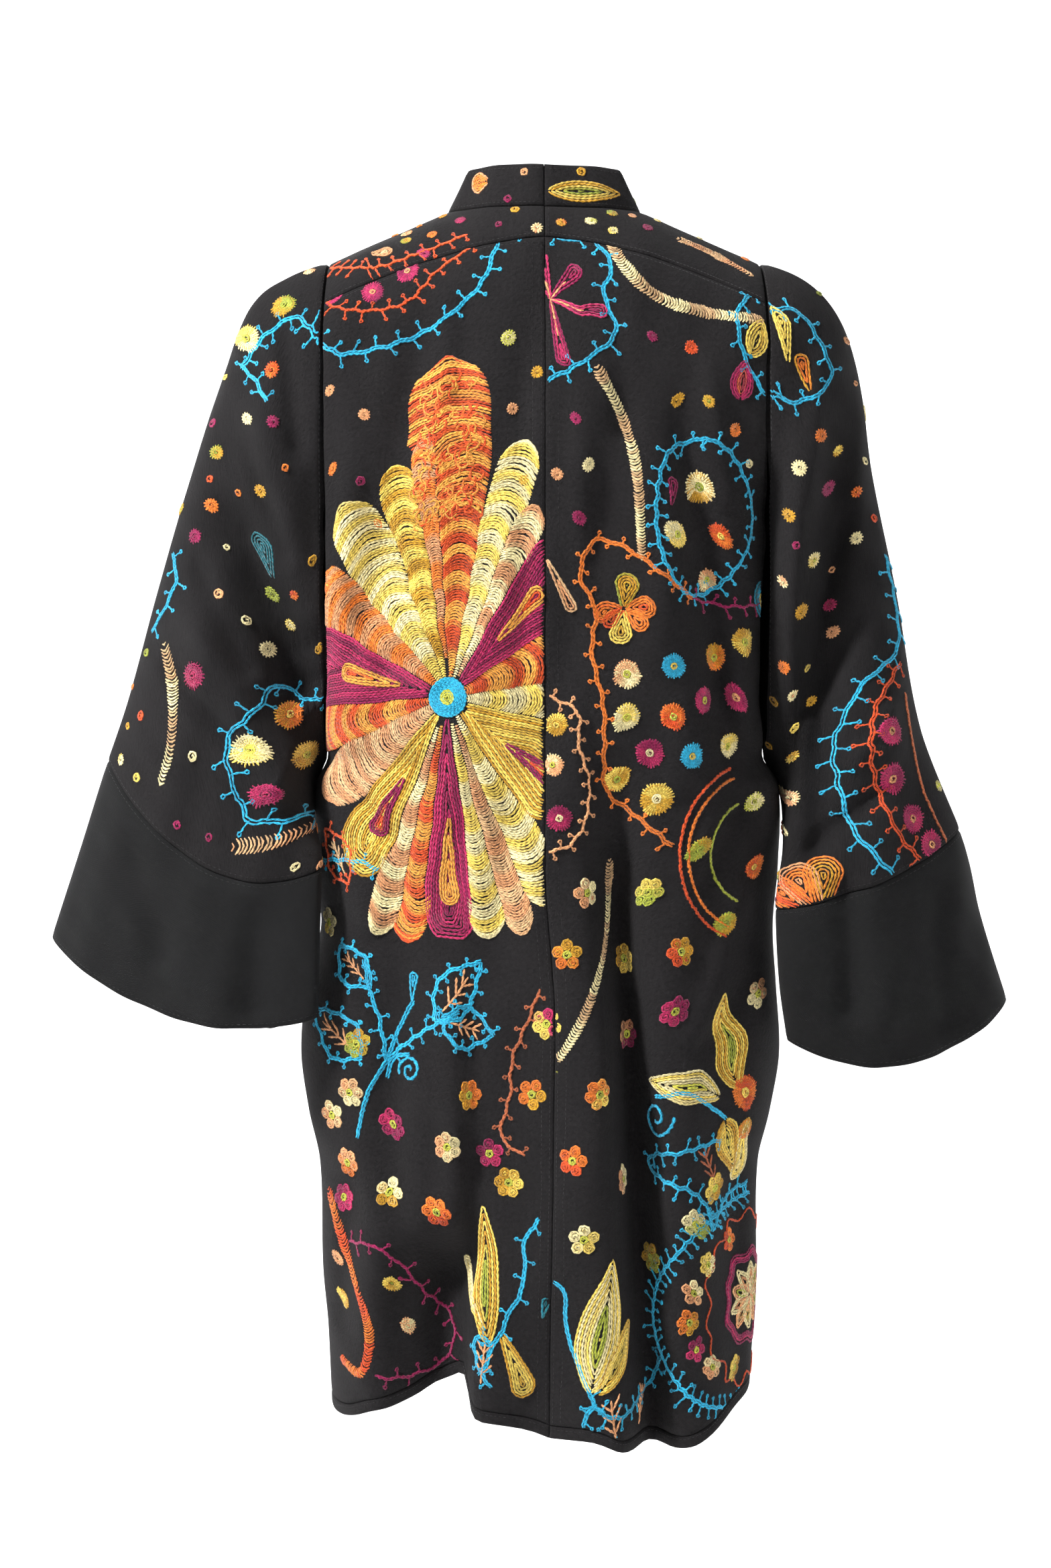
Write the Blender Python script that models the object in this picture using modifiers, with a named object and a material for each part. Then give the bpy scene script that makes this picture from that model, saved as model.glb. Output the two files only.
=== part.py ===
"""Embroidered open-front jacket, cut like a kimono and worn by a general figure that is left out.

Metres, +Z up. The front faces -Y and the wearer's left is +X. The origin lies between the two
side neck points, at the height where the shoulders carry the cloth.
"""

import math
from collections import namedtuple

import bmesh
import bpy
from mathutils import Vector

CLOTH = 0.0018  # wool cloth with its backing
BAND_CLOTH = 0.003  # the neckband is folded double
BINDING_CLOTH = 0.0028  # cloth with the hem binding over it
SEAM_GAP = 0.0003  # between two pieces at a seam
ARMHOLE_GAP = 0.0007  # wider, as the round armhole is met by flat facets
BAND_GAP = 0.0006  # the neckband stands at an angle to what it is sewn to
EDGE_STRIP = 0.003

HEM_Z = -0.97
UNDERARM_Z = -0.435
ARMHOLE_X = 0.172
BINDING_WIDTH = 0.010

NECK_HALF_WIDTH = 0.078
SHOULDER_START = 0.083  # from the centre to where the shoulder begins to slope
SHOULDER_SLOPE = 0.43
BACK_NECK_RISE = 0.018
NECK_SIDE_Z = BACK_NECK_RISE * (1 - (NECK_HALF_WIDTH / SHOULDER_START) ** 2)
SHOULDER_ROUND = 0.08  # how far below the ridge the cloth has turned upright

YOKE_CENTRE_Z = -0.027
YOKE_FALL = 0.050
YOKE_CURVE = 1.6  # how late the yoke seam drops towards the armhole

FRONT_EDGE_X = 0.068
BAND_WIDTH_BACK = 0.035
BAND_WIDTH_FRONT = 0.045

SQUARENESS = 0.84  # 1 is an ellipse, less is a squarer body section
FLAT_BACK = 2.2
FOLLOWS_ARMHOLE_Z = -0.16  # above this the panels reach flat to the armhole
SHOULDER_SHARE = 0.18  # of a front's length, taken by its turn over the shoulder

SLEEVE_LENGTH = 0.40
CUFF_LENGTH = 0.144
NECK_ARC = 0.10  # from the centre back to a side neck point

# How many facets each piece has, and how their rows crowd towards the top of a piece.
BODY_ROWS = 25
BACK_COLUMNS = 12
FRONT_COLUMNS = 8
YOKE_ROWS = 4
SLEEVE_RINGS = 12
CUFF_RINGS = 5
AROUND_ARM = 28
BAND_COLUMNS = 4
BAND_NECK_ROWS = 9
BAND_FRONT_ROWS = 22
BACK_CROWDING = 1.15
BAND_CROWDING = 1.8

BACK, FRONT = 1, -1
LEFT, RIGHT = 1, -1

BLACK_WOOL = (0.016, 0.015, 0.016)
BLACK_TWILL = (0.012, 0.012, 0.013)

# The body at a height: how far each side reaches from the centre, to the armhole seam above the
# underarm and to the side seam below it, the depth of the centre back and centre front, and the
# depth of the cloth at the armhole seam.
Level = namedtuple("Level", "z left right back front arm_back arm_front")
BODY = (
    Level(0.020, 0.172, 0.172, 0.088, -0.070, 0.080, -0.074),
    Level(-0.030, 0.172, 0.172, 0.088, -0.084, 0.082, -0.076),
    Level(-0.080, 0.172, 0.172, 0.101, -0.104, 0.084, -0.078),
    Level(-0.140, 0.172, 0.172, 0.114, -0.128, 0.084, -0.080),
    Level(-0.200, 0.172, 0.172, 0.119, -0.146, 0.082, -0.080),
    Level(-0.260, 0.172, 0.172, 0.118, -0.152, 0.077, -0.077),
    Level(-0.320, 0.172, 0.172, 0.115, -0.148, 0.066, -0.067),
    Level(-0.380, 0.173, 0.173, 0.111, -0.140, 0.044, -0.045),
    Level(-0.420, 0.175, 0.176, 0.109, -0.134, 0.018, -0.018),
    Level(-0.435, 0.176, 0.178, 0.108, -0.132, 0.0, 0.0),
    Level(-0.520, 0.184, 0.184, 0.107, -0.127, 0.0, 0.0),
    Level(-0.570, 0.182, 0.187, 0.108, -0.126, 0.0, 0.0),
    Level(-0.620, 0.194, 0.190, 0.110, -0.127, 0.0, 0.0),
    Level(-0.675, 0.199, 0.193, 0.113, -0.128, 0.0, 0.0),
    Level(-0.720, 0.193, 0.186, 0.115, -0.130, 0.0, 0.0),
    Level(-0.765, 0.184, 0.176, 0.116, -0.131, 0.0, 0.0),
    Level(-0.855, 0.182, 0.175, 0.117, -0.132, 0.0, 0.0),
    Level(-0.900, 0.178, 0.173, 0.118, -0.133, 0.0, 0.0),
    Level(-1.000, 0.174, 0.168, 0.119, -0.134, 0.0, 0.0),
)

# A sleeve at a station along the arm. Outer is its top fold and inner its underarm fold. The
# cloth stands half_back and half_front off the line between them, and hangs below it by the
# sag. Station 1 is the cuff seam and station 2 the cuff's edge.
Station = namedtuple(
    "Station",
    "at outer_x outer_y outer_z inner_x inner_y inner_z half_back half_front sag",
)
SLEEVE = {
    LEFT: (
        Station(0.00, 0.172, 0.000, -0.038, 0.176, 0.000, -0.435, 0.084, 0.080, 0.000),
        Station(0.15, 0.226, 0.000, -0.070, 0.182, 0.003, -0.450, 0.078, 0.076, 0.000),
        Station(0.30, 0.257, -0.002, -0.126, 0.184, 0.010, -0.460, 0.072, 0.070, 0.002),
        Station(0.50, 0.288, -0.005, -0.215, 0.184, 0.028, -0.474, 0.067, 0.065, 0.008),
        Station(0.70, 0.315, -0.010, -0.302, 0.181, 0.050, -0.488, 0.063, 0.060, 0.020),
        Station(0.88, 0.340, -0.016, -0.387, 0.176, 0.062, -0.503, 0.060, 0.056, 0.034),
        Station(1.00, 0.358, -0.020, -0.437, 0.175, 0.068, -0.518, 0.058, 0.054, 0.040),
        Station(1.50, 0.383, -0.026, -0.511, 0.176, 0.082, -0.577, 0.056, 0.050, 0.038),
        Station(2.00, 0.409, -0.032, -0.586, 0.177, 0.087, -0.634, 0.054, 0.046, 0.027),
    ),
    RIGHT: (
        Station(0.00, 0.172, 0.000, -0.038, 0.178, 0.000, -0.435, 0.084, 0.080, 0.000),
        Station(0.15, 0.222, 0.000, -0.070, 0.185, 0.006, -0.450, 0.076, 0.074, 0.000),
        Station(0.30, 0.250, 0.000, -0.120, 0.190, 0.020, -0.465, 0.068, 0.070, 0.000),
        Station(0.50, 0.264, 0.003, -0.206, 0.190, 0.042, -0.485, 0.062, 0.066, 0.000),
        Station(0.70, 0.284, 0.008, -0.302, 0.188, 0.060, -0.508, 0.058, 0.063, 0.002),
        Station(0.88, 0.304, 0.012, -0.410, 0.183, 0.072, -0.532, 0.056, 0.061, 0.004),
        Station(1.00, 0.336, 0.015, -0.491, 0.181, 0.078, -0.549, 0.055, 0.060, 0.008),
        Station(1.50, 0.354, 0.015, -0.561, 0.184, 0.080, -0.607, 0.054, 0.058, 0.026),
        Station(2.00, 0.377, 0.012, -0.631, 0.192, 0.068, -0.656, 0.053, 0.056, 0.029),
    ),
}
INNER_THINNING = 0.35  # the hanging underarm cloth is this much flatter than the filled top
ARMHOLE_BLEND = 0.35  # how far along the sleeve the armhole's own shape fades out

# A fold is a soft ridge, or a trough where its height is negative, along a line seen from
# behind or in front. Lean carries its crest sideways.
Fold = namedtuple("Fold", "face x0 z0 x1 z1 width height lean")
FOLDS = (
    # The back's long trough right of centre and the two rolls beside it.
    Fold(BACK, -0.045, -0.40, -0.088, -1.02, 0.016, -0.034, 0.000),
    Fold(BACK, -0.012, -0.50, -0.040, -1.02, 0.034, 0.022, -0.010),
    Fold(BACK, -0.100, -0.52, -0.132, -1.02, 0.026, 0.018, 0.006),
    # The slanting crease from the shoulder blade to the right underarm.
    Fold(BACK, -0.100, -0.13, -0.150, -0.48, 0.012, -0.014, 0.000),
    Fold(BACK, -0.070, -0.16, -0.112, -0.46, 0.022, 0.008, 0.000),
    # The recess left of the centre at the hem, and the roll that overhangs it.
    Fold(BACK, 0.080, -0.78, 0.078, -1.02, 0.034, -0.036, 0.000),
    Fold(BACK, 0.040, -0.80, 0.036, -1.02, 0.018, 0.012, 0.014),
    Fold(BACK, 0.138, -0.70, 0.136, -1.02, 0.020, 0.012, 0.000),
    Fold(BACK, 0.112, -0.46, 0.118, -0.80, 0.018, -0.010, 0.000),
    # Soft troughs from the left shoulder blade.
    Fold(BACK, 0.085, -0.07, 0.135, -0.34, 0.018, -0.010, 0.000),
    Fold(BACK, 0.150, -0.10, 0.160, -0.36, 0.014, 0.007, 0.000),
    # The left sleeve's drag lines, running to the underarm.
    Fold(BACK, 0.262, -0.21, 0.182, -0.39, 0.020, -0.024, 0.000),
    Fold(BACK, 0.225, -0.13, 0.185, -0.34, 0.018, 0.012, 0.000),
    Fold(BACK, 0.300, -0.29, 0.190, -0.46, 0.022, 0.014, 0.000),
    Fold(BACK, 0.290, -0.50, 0.255, -0.66, 0.030, 0.008, 0.000),
    # The right sleeve's upright roll and the trough outside it.
    Fold(BACK, -0.200, -0.12, -0.186, -0.52, 0.014, 0.016, 0.000),
    Fold(BACK, -0.170, -0.18, -0.174, -0.41, 0.011, -0.020, 0.000),
    Fold(BACK, -0.232, -0.14, -0.214, -0.52, 0.014, -0.016, 0.000),
    Fold(BACK, -0.268, -0.34, -0.262, -0.66, 0.024, 0.010, 0.000),
    # The fronts: a fall from each bust and a roll at each side.
    Fold(FRONT, 0.095, -0.30, 0.105, -1.02, 0.024, 0.016, 0.000),
    Fold(FRONT, 0.132, -0.36, 0.140, -1.02, 0.018, -0.018, 0.000),
    Fold(FRONT, -0.090, -0.32, -0.104, -1.02, 0.026, 0.014, 0.000),
    Fold(FRONT, -0.130, -0.34, -0.142, -1.02, 0.018, -0.016, 0.000),
    Fold(FRONT, 0.120, -0.12, 0.165, -0.38, 0.014, -0.012, 0.000),
    Fold(FRONT, -0.120, -0.12, -0.165, -0.38, 0.014, -0.012, 0.000),
    Fold(FRONT, 0.262, -0.22, 0.185, -0.43, 0.016, -0.018, 0.000),
    Fold(FRONT, -0.250, -0.20, -0.195, -0.44, 0.016, -0.018, 0.000),
    Fold(FRONT, 0.300, -0.36, 0.250, -0.62, 0.024, 0.010, 0.000),
    Fold(FRONT, -0.285, -0.36, -0.250, -0.62, 0.024, 0.010, 0.000),
)
FOLD_FADE = 0.045  # folds die away this close to where the front and back meet
FOLD_ENDS = 0.28  # share of a fold's length over which it rises from nothing
FOLD_END_RISE = 0.25  # how much of the fold is left at its second end
FOLD_REACH = 3  # widths from its line at which a fold has died away

# How the hem lifts off its level, by the share of the way from the centre to the side.
HemLift = namedtuple("HemLift", "out left right")
HEM = (
    HemLift(0.00, 0.010, 0.010),
    HemLift(0.16, 0.021, 0.011),
    HemLift(0.29, 0.027, 0.004),
    HemLift(0.35, 0.048, 0.001),
    HemLift(0.45, 0.042, -0.003),
    HemLift(0.62, 0.029, -0.005),
    HemLift(0.79, 0.021, 0.002),
    HemLift(0.92, 0.008, 0.016),
    HemLift(1.00, 0.004, 0.020),
)

# The neckband's free edge, measured from its seam: the share of the band's way from the centre
# back to the side neck point, then beyond it down the front, and how it stands there.
BandLean = namedtuple("BandLean", "at inward backward up")
BAND = (
    BandLean(0.0, 0.000, -0.010, 0.034),
    BandLean(0.5, 0.008, -0.010, 0.034),
    BandLean(1.0, 0.018, 0.004, 0.030),
    BandLean(1.5, 0.030, -0.006, 0.018),
    BandLean(2.0, 0.040, -0.012, 0.004),
)
BAND_SETTLES_Z = -0.13  # below this the band lies in the front's own surface

SEARCH_STEPS = 24


def clamp(value, low=0.0, high=1.0):
    return max(low, min(high, value))


def mix(a, b, share):
    return a + (b - a) * share


def ease(value):
    value = clamp(value)
    return value * value * (3 - 2 * value)


def read(table, value):
    """The row of a table at a value of its first column, on a smooth curve through the rows."""
    keys = [row[0] for row in table]
    rising = keys[-1] > keys[0]
    last = len(table) - 1
    spot = next((i for i in range(1, last) if (keys[i] > value) == rising), last)
    low, high = table[spot - 1], table[spot]
    before, after = table[max(spot - 2, 0)], table[min(spot + 1, last)]
    span = high[0] - low[0]
    t = clamp((value - low[0]) / span)
    row = []
    for column in range(len(low)):
        rise_in = (high[column] - before[column]) / (high[0] - before[0]) * span
        rise_out = (after[column] - low[column]) / (after[0] - low[0]) * span
        row.append(
            low[column] * (2 * t**3 - 3 * t**2 + 1)
            + rise_in * (t**3 - 2 * t**2 + t)
            + high[column] * (3 * t**2 - 2 * t**3)
            + rise_out * (t**3 - t**2)
        )
    return type(low)(*row)


def ridge_z(x):
    """Height of the shoulder ridge, and of its carried-on line behind the neck."""
    if abs(x) < SHOULDER_START:
        return BACK_NECK_RISE * (1 - (x / SHOULDER_START) ** 2)
    return SHOULDER_SLOPE * (SHOULDER_START - abs(x))


def over_shoulder(x, z):
    """0 on the shoulder ridge, and 1 once the cloth has turned down from it."""
    turned = clamp((ridge_z(x) - z) / SHOULDER_ROUND)
    return math.sqrt(1 - (1 - turned) ** 2)


def fold_offset(face, point, stand_off):
    """Adds every fold on this face to a point whose cloth stands this far off its middle line."""
    fade = ease(abs(stand_off) / FOLD_FADE)
    for fold in FOLDS:
        if fold.face != face:
            continue
        run_x, run_z = fold.x1 - fold.x0, fold.z1 - fold.z0
        length = math.hypot(run_x, run_z)
        along = ((point.x - fold.x0) * run_x + (point.z - fold.z0) * run_z) / length**2
        off = ((point.x - fold.x0) * run_z - (point.z - fold.z0) * run_x) / length
        if not 0 < along < 1 or abs(off) > FOLD_REACH * fold.width:
            continue
        rise = ease(along / FOLD_ENDS) * ease((1 - along) / (FOLD_ENDS / 2) + FOLD_END_RISE)
        shape = math.exp(-((off / fold.width) ** 2)) * rise * fade
        yield Vector((fold.lean * shape, face * fold.height * shape, 0))


def folded(face, point, stand_off):
    return point + sum(fold_offset(face, point, stand_off), Vector())


def armhole_depth(level, face):
    """How far the armhole seam stands off the side, and none below the underarm."""
    return max(level.arm_back, 0.0) if face == BACK else min(level.arm_front, 0.0)


def body_point(side, face, across, z):
    """A point of the body: across is 0 at the centre and 1 at the armhole or side seam."""
    level = read(BODY, z)
    reach = level.left if side == LEFT else level.right
    middle = level.back if face == BACK else level.front
    edge = armhole_depth(level, face)
    wrap = ease((z - FOLLOWS_ARMHOLE_Z) / (UNDERARM_Z - FOLLOWS_ARMHOLE_Z))
    turn = across * math.pi / 2
    out = mix(across, math.sin(turn) ** SQUARENESS, wrap)
    fall = mix(1 - out**FLAT_BACK, max(math.cos(turn), 0.0) ** SQUARENESS, wrap)
    depth = mix(edge, middle, fall) * over_shoulder(reach * out, z)
    return folded(face, Vector((side * reach * out, depth, z)), depth)


def across_at(side, face, x, z):
    """The share of the way across at which the body is this far from the centre."""
    low, high = 0.0, 1.0
    for _ in range(SEARCH_STEPS):
        middle = (low + high) / 2
        if abs(body_point(side, face, middle, z).x) < x:
            low = middle
        else:
            high = middle
    return low


def yoke_seam_z(across):
    return YOKE_CENTRE_Z - YOKE_FALL * across**YOKE_CURVE


def hem_z(side, face, across):
    """The hem's height: the front's runs evenly to meet the back's at the side seam."""
    out = math.sin(across * math.pi / 2) ** SQUARENESS
    lift = read(HEM, out) if face == BACK else HEM[-1]
    share = 1 if face == BACK else out**2
    return HEM_Z + share * (lift.left if side == LEFT else lift.right)


def neck_z(x):
    return NECK_SIDE_Z * (x / NECK_HALF_WIDTH) ** 2


def back_point(side, across, down):
    """The back below the yoke: down is 0 at the yoke seam and 1 at the top of the binding."""
    top, bottom = yoke_seam_z(across), hem_z(side, BACK, across) + BINDING_WIDTH
    return body_point(side, BACK, across, mix(top, bottom, down**BACK_CROWDING))


def yoke_point(side, across, down):
    """The yoke: down is 0 at the neck seam and shoulder ridge and 1 at the yoke seam."""
    x = ARMHOLE_X * across
    top = ridge_z(x) - neck_z(x) if x < NECK_HALF_WIDTH else 0.0
    start, end = (
        math.acos(1 - clamp(fall / SHOULDER_ROUND))
        for fall in (top, ridge_z(x) - yoke_seam_z(across))
    )
    turned = SHOULDER_ROUND * (1 - math.cos(mix(start, end, down)))
    return body_point(side, BACK, across, ridge_z(x) - turned)


def front_edge_x(z):
    """Where the front ends and its band begins."""
    return mix(FRONT_EDGE_X, NECK_HALF_WIDTH, ease(1 - z / BAND_SETTLES_Z / 2))


def front_point(side, across, down):
    """The front: across runs from the band seam to the armhole, down from the ridge to the hem."""
    x = mix(NECK_HALF_WIDTH, ARMHOLE_X, across)
    if down < SHOULDER_SHARE:
        turn = down / SHOULDER_SHARE * math.pi / 2
        z = ridge_z(x) - SHOULDER_ROUND * (1 - math.cos(turn))
    else:
        lower = (down - SHOULDER_SHARE) / (1 - SHOULDER_SHARE)
        bottom = hem_z(side, FRONT, across) + BINDING_WIDTH
        z = mix(ridge_z(x) - SHOULDER_ROUND, bottom, lower)
    start = across_at(side, FRONT, front_edge_x(z), z)
    return body_point(side, FRONT, mix(start, 1, across), z)


def binding_point(side, face, across, down):
    """The bound hem: down is 0 at the panel and 1 at the very edge."""
    z = hem_z(side, face, across) + BINDING_WIDTH * (1 - down)
    start = across_at(side, face, front_edge_x(z), z) if face == FRONT else 0.0
    return body_point(side, face, mix(start, 1, across), z)


def armhole_y(side, face, z):
    level = read(BODY, z)
    reach = level.left if side == LEFT else level.right
    return armhole_depth(level, face) * over_shoulder(reach, z)


def sleeve_point(side, station, around):
    """The sleeve: around is 0 at the top fold, 0.25 behind, 0.5 at the underarm, 0.75 in front."""
    row = read(SLEEVE[side], station)
    face = BACK if around <= 0.5 else FRONT
    turn = 2 * math.pi * around
    share = (1 - math.cos(turn)) / 2
    outer = Vector((side * (row.outer_x + ARMHOLE_GAP), row.outer_y, row.outer_z))
    inner = Vector((side * (row.inner_x + ARMHOLE_GAP), row.inner_y, row.inner_z))
    point = outer.lerp(inner, share)
    half = row.half_back if face == BACK else row.half_front
    own = abs(math.sin(turn)) * half * (1 - INNER_THINNING * share)
    first = SLEEVE[side][0]
    seam_z = mix(first.outer_z, first.inner_z, share)
    fitted = abs(armhole_y(side, face, mix(point.z, seam_z, share)))
    stand_off = mix(fitted, own, ease(station / ARMHOLE_BLEND))
    point.y += face * stand_off
    point.z -= row.sag * math.sin(turn) ** 2
    return folded(face, point, stand_off)


def band_point(side, along, across):
    """The neckband: along is 0 at the centre back, 1 at the side neck point and 2 at the hem."""
    if along <= 1:
        x = NECK_HALF_WIDTH * math.sin(along * math.pi / 2)
        seam = body_point(side, BACK, x / ARMHOLE_X, neck_z(x))
        lean = read(BAND, along)
        stand = Vector((-side * lean.inward, lean.backward, lean.up))
        return seam + stand * across
    z = mix(NECK_SIDE_Z, HEM_Z + BINDING_WIDTH / 2, (along - 1) ** BAND_CROWDING)
    edge_x = front_edge_x(z)
    seam = body_point(side, FRONT, across_at(side, FRONT, edge_x, z), z)
    settled = ease((NECK_SIDE_Z - z) / (NECK_SIDE_Z - BAND_SETTLES_Z))
    lean = read(BAND, 1 + settled)
    standing = seam + Vector((-side * lean.inward, lean.backward, lean.up)) * across
    lying_x = edge_x - BAND_WIDTH_FRONT * across
    lying = body_point(side, FRONT, across_at(side, FRONT, lying_x, z), z)
    return standing.lerp(lying, settled)


def finish(name, colour, roughness):
    material = bpy.data.materials.new(name)
    material.use_nodes = True
    shader = material.node_tree.nodes["Principled BSDF"]
    shader.inputs["Base Color"].default_value = (*colour, 1)
    shader.inputs["Roughness"].default_value = roughness
    shader.inputs["Metallic"].default_value = 0
    return material


def spaced(count, start_gap, end_gap, length):
    """Shares from 0 to 1, drawn in at the ends by gaps that are given in metres.

    A narrow strip at each end turns the wall's edge square to the cloth there, so that two
    pieces meet edge to edge at a seam.
    """
    low, high, strip = start_gap / length, 1 - end_gap / length, EDGE_STRIP / length
    inner = [mix(low, high, i / count) for i in range(1, count)]
    return [low, low + strip, *inner, high - strip, high]


def sheet(name, grid, closed, outward, thickness, material, collection):
    """A wall of cloth from a grid of points, its given side being the outer one."""
    mesh = bpy.data.meshes.new(name)
    work = bmesh.new()
    rows = [[work.verts.new(point) for point in row] for row in grid]
    for upper, lower in zip(rows, rows[1:]):
        pairs = list(zip(upper, lower))
        following = pairs[1:] + pairs[:1] if closed else pairs[1:]
        for (a, b), (d, c) in zip(pairs, following):
            work.faces.new((a, b, c, d) if outward else (d, c, b, a))
    work.to_mesh(mesh)
    work.free()
    mesh.shade_smooth()
    mesh.materials.append(material)
    piece = bpy.data.objects.new(name, mesh)
    collection.objects.link(piece)
    wall = piece.modifiers.new("Cloth", "SOLIDIFY")
    wall.thickness = thickness
    wall.offset = -1
    return piece


def panel(name, point, columns, rows, outward, thickness, material, collection):
    """An open sheet whose points come from a function of its two shares."""
    grid = [[point(across, down) for across in columns] for down in rows]
    return sheet(name, grid, False, outward, thickness, material, collection)


def tube(name, side, stations, material, collection):
    grid = [
        [sleeve_point(side, at, i / AROUND_ARM) for i in range(AROUND_ARM)]
        for at in stations
    ]
    return sheet(name, grid, True, side == LEFT, CLOTH, material, collection)


def make_side(side, word, wool, twill, collection):
    """Every piece of one side of the jacket."""
    half = SEAM_GAP / 2
    outward = side == RIGHT
    columns = spaced(BACK_COLUMNS, half, half, ARMHOLE_X)
    panel(
        f"back_{word}",
        lambda across, down: back_point(side, across, down),
        columns,
        spaced(BODY_ROWS, half, half, -HEM_Z),
        outward,
        CLOTH,
        wool,
        collection,
    )
    panel(
        f"yoke_{word}",
        lambda across, down: yoke_point(side, across, down),
        columns,
        spaced(YOKE_ROWS, 2 * half, 2 * half, YOKE_FALL),
        outward,
        CLOTH,
        wool,
        collection,
    )
    panel(
        f"front_{word}",
        lambda across, down: front_point(side, across, down),
        spaced(FRONT_COLUMNS, 2 * half, half, ARMHOLE_X - NECK_HALF_WIDTH),
        spaced(BODY_ROWS, half, half, -HEM_Z),
        not outward,
        CLOTH,
        wool,
        collection,
    )
    hems = (BACK, "back", BACK_COLUMNS), (FRONT, "front", FRONT_COLUMNS)
    for face, face_word, count in hems:
        panel(
            f"hem_{face_word}_{word}",
            lambda across, down, face=face: binding_point(side, face, across, down),
            spaced(count, 2 * half, half, ARMHOLE_X),
            spaced(1, 4 * half, 0, BINDING_WIDTH),
            outward if face == BACK else not outward,
            BINDING_CLOTH,
            wool,
            collection,
        )
    sleeve_stations = spaced(SLEEVE_RINGS, 0, 2 * half, SLEEVE_LENGTH)
    cuff_rings = spaced(CUFF_RINGS, 2 * half, 0, CUFF_LENGTH)
    tube(f"sleeve_{word}", side, sleeve_stations, wool, collection)
    tube(f"cuff_{word}", side, [1 + share for share in cuff_rings], twill, collection)
    round_neck = spaced(BAND_NECK_ROWS, half, 0, NECK_ARC)
    down_front = [1 + (i + 1) / BAND_FRONT_ROWS for i in range(BAND_FRONT_ROWS)]
    panel(
        f"neckband_{word}",
        lambda across, down: band_point(side, down, across),
        spaced(BAND_COLUMNS, BAND_GAP, 0, BAND_WIDTH_BACK),
        round_neck + down_front,
        outward,
        BAND_CLOTH,
        wool,
        collection,
    )


def make_jacket():
    for stray in list(bpy.data.objects):
        bpy.data.objects.remove(stray)
    collection = bpy.data.collections.new("Embroidered jacket")
    bpy.context.scene.collection.children.link(collection)
    wool = finish("Black wool", BLACK_WOOL, 0.9)
    twill = finish("Black twill", BLACK_TWILL, 0.8)
    for side, word in ((LEFT, "left"), (RIGHT, "right")):
        make_side(side, word, wool, twill, collection)


make_jacket()
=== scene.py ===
"""The looks of an embroidered open-front jacket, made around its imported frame.

It is laid out as a Blender add-on and run as a script. Metres, +Z up. The front faces -Y and the
wearer's left is +X. Each piece of cloth is a fine grid on its solid's own form, with its creases
and its rolled seams. The embroidery is rows of chain stitch that follow the cloth.
"""

from collections import namedtuple
from functools import partial
from math import pi, radians

import bpy
import numpy as np
from bpy.props import FloatProperty, FloatVectorProperty, PointerProperty
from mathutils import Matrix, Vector


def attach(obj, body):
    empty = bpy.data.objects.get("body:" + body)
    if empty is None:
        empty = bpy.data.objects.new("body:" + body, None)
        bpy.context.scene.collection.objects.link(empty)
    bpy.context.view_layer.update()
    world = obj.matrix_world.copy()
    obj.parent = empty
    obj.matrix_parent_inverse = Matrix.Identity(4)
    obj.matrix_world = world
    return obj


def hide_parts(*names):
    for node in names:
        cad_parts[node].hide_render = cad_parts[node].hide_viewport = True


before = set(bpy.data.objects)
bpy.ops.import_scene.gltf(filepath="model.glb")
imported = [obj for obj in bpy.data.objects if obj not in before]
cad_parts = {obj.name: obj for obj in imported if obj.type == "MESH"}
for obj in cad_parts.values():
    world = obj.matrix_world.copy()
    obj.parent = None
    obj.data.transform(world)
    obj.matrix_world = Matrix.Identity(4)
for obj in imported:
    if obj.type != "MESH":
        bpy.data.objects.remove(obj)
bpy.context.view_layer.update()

bl_info = {
    "name": "Embroidered jacket",
    "version": (1, 0, 0),
    "blender": (4, 5, 0),
    "location": "View3D > Sidebar > Jacket",
    "description": "Makes an open-front wool jacket with chain-stitch embroidery",
    "category": "Object",
}

# The cut, as the solids have it.
HEM_Z = -0.97
UNDERARM_Z = -0.435
ARMHOLE_X = 0.172
ARMHOLE_GAP = 0.0007
BINDING_WIDTH = 0.010
HEM_STEP = 0.002
NECK_HALF_WIDTH = 0.078
SHOULDER_START = 0.083
SHOULDER_SLOPE = 0.43
BACK_NECK_RISE = 0.018
NECK_SIDE_Z = BACK_NECK_RISE * (1 - (NECK_HALF_WIDTH / SHOULDER_START) ** 2)
SHOULDER_ROUND = 0.08
YOKE_CENTRE_Z = -0.027
YOKE_FALL = 0.050
YOKE_CURVE = 1.6
FRONT_EDGE_X = 0.068
BAND_WIDTH_FRONT = 0.045
SQUARENESS = 0.84
FLAT_BACK = 2.2
FOLLOWS_ARMHOLE_Z = -0.16
SHOULDER_SHARE = 0.18
INNER_THINNING = 0.35
ARMHOLE_BLEND = 0.35
BAND_SETTLES_Z = -0.13
SLEEVE_LENGTH = 0.44
CUFF_LENGTH = 0.10
SLEEVE_ROUND = 0.80
NECK_ARC = 0.10
SEARCH_STEPS = 24
EDGE_LEVELS = 260

BACK, FRONT = 1, -1
LEFT, RIGHT = 1, -1
SIDES = ((LEFT, "left"), (RIGHT, "right"))

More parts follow.
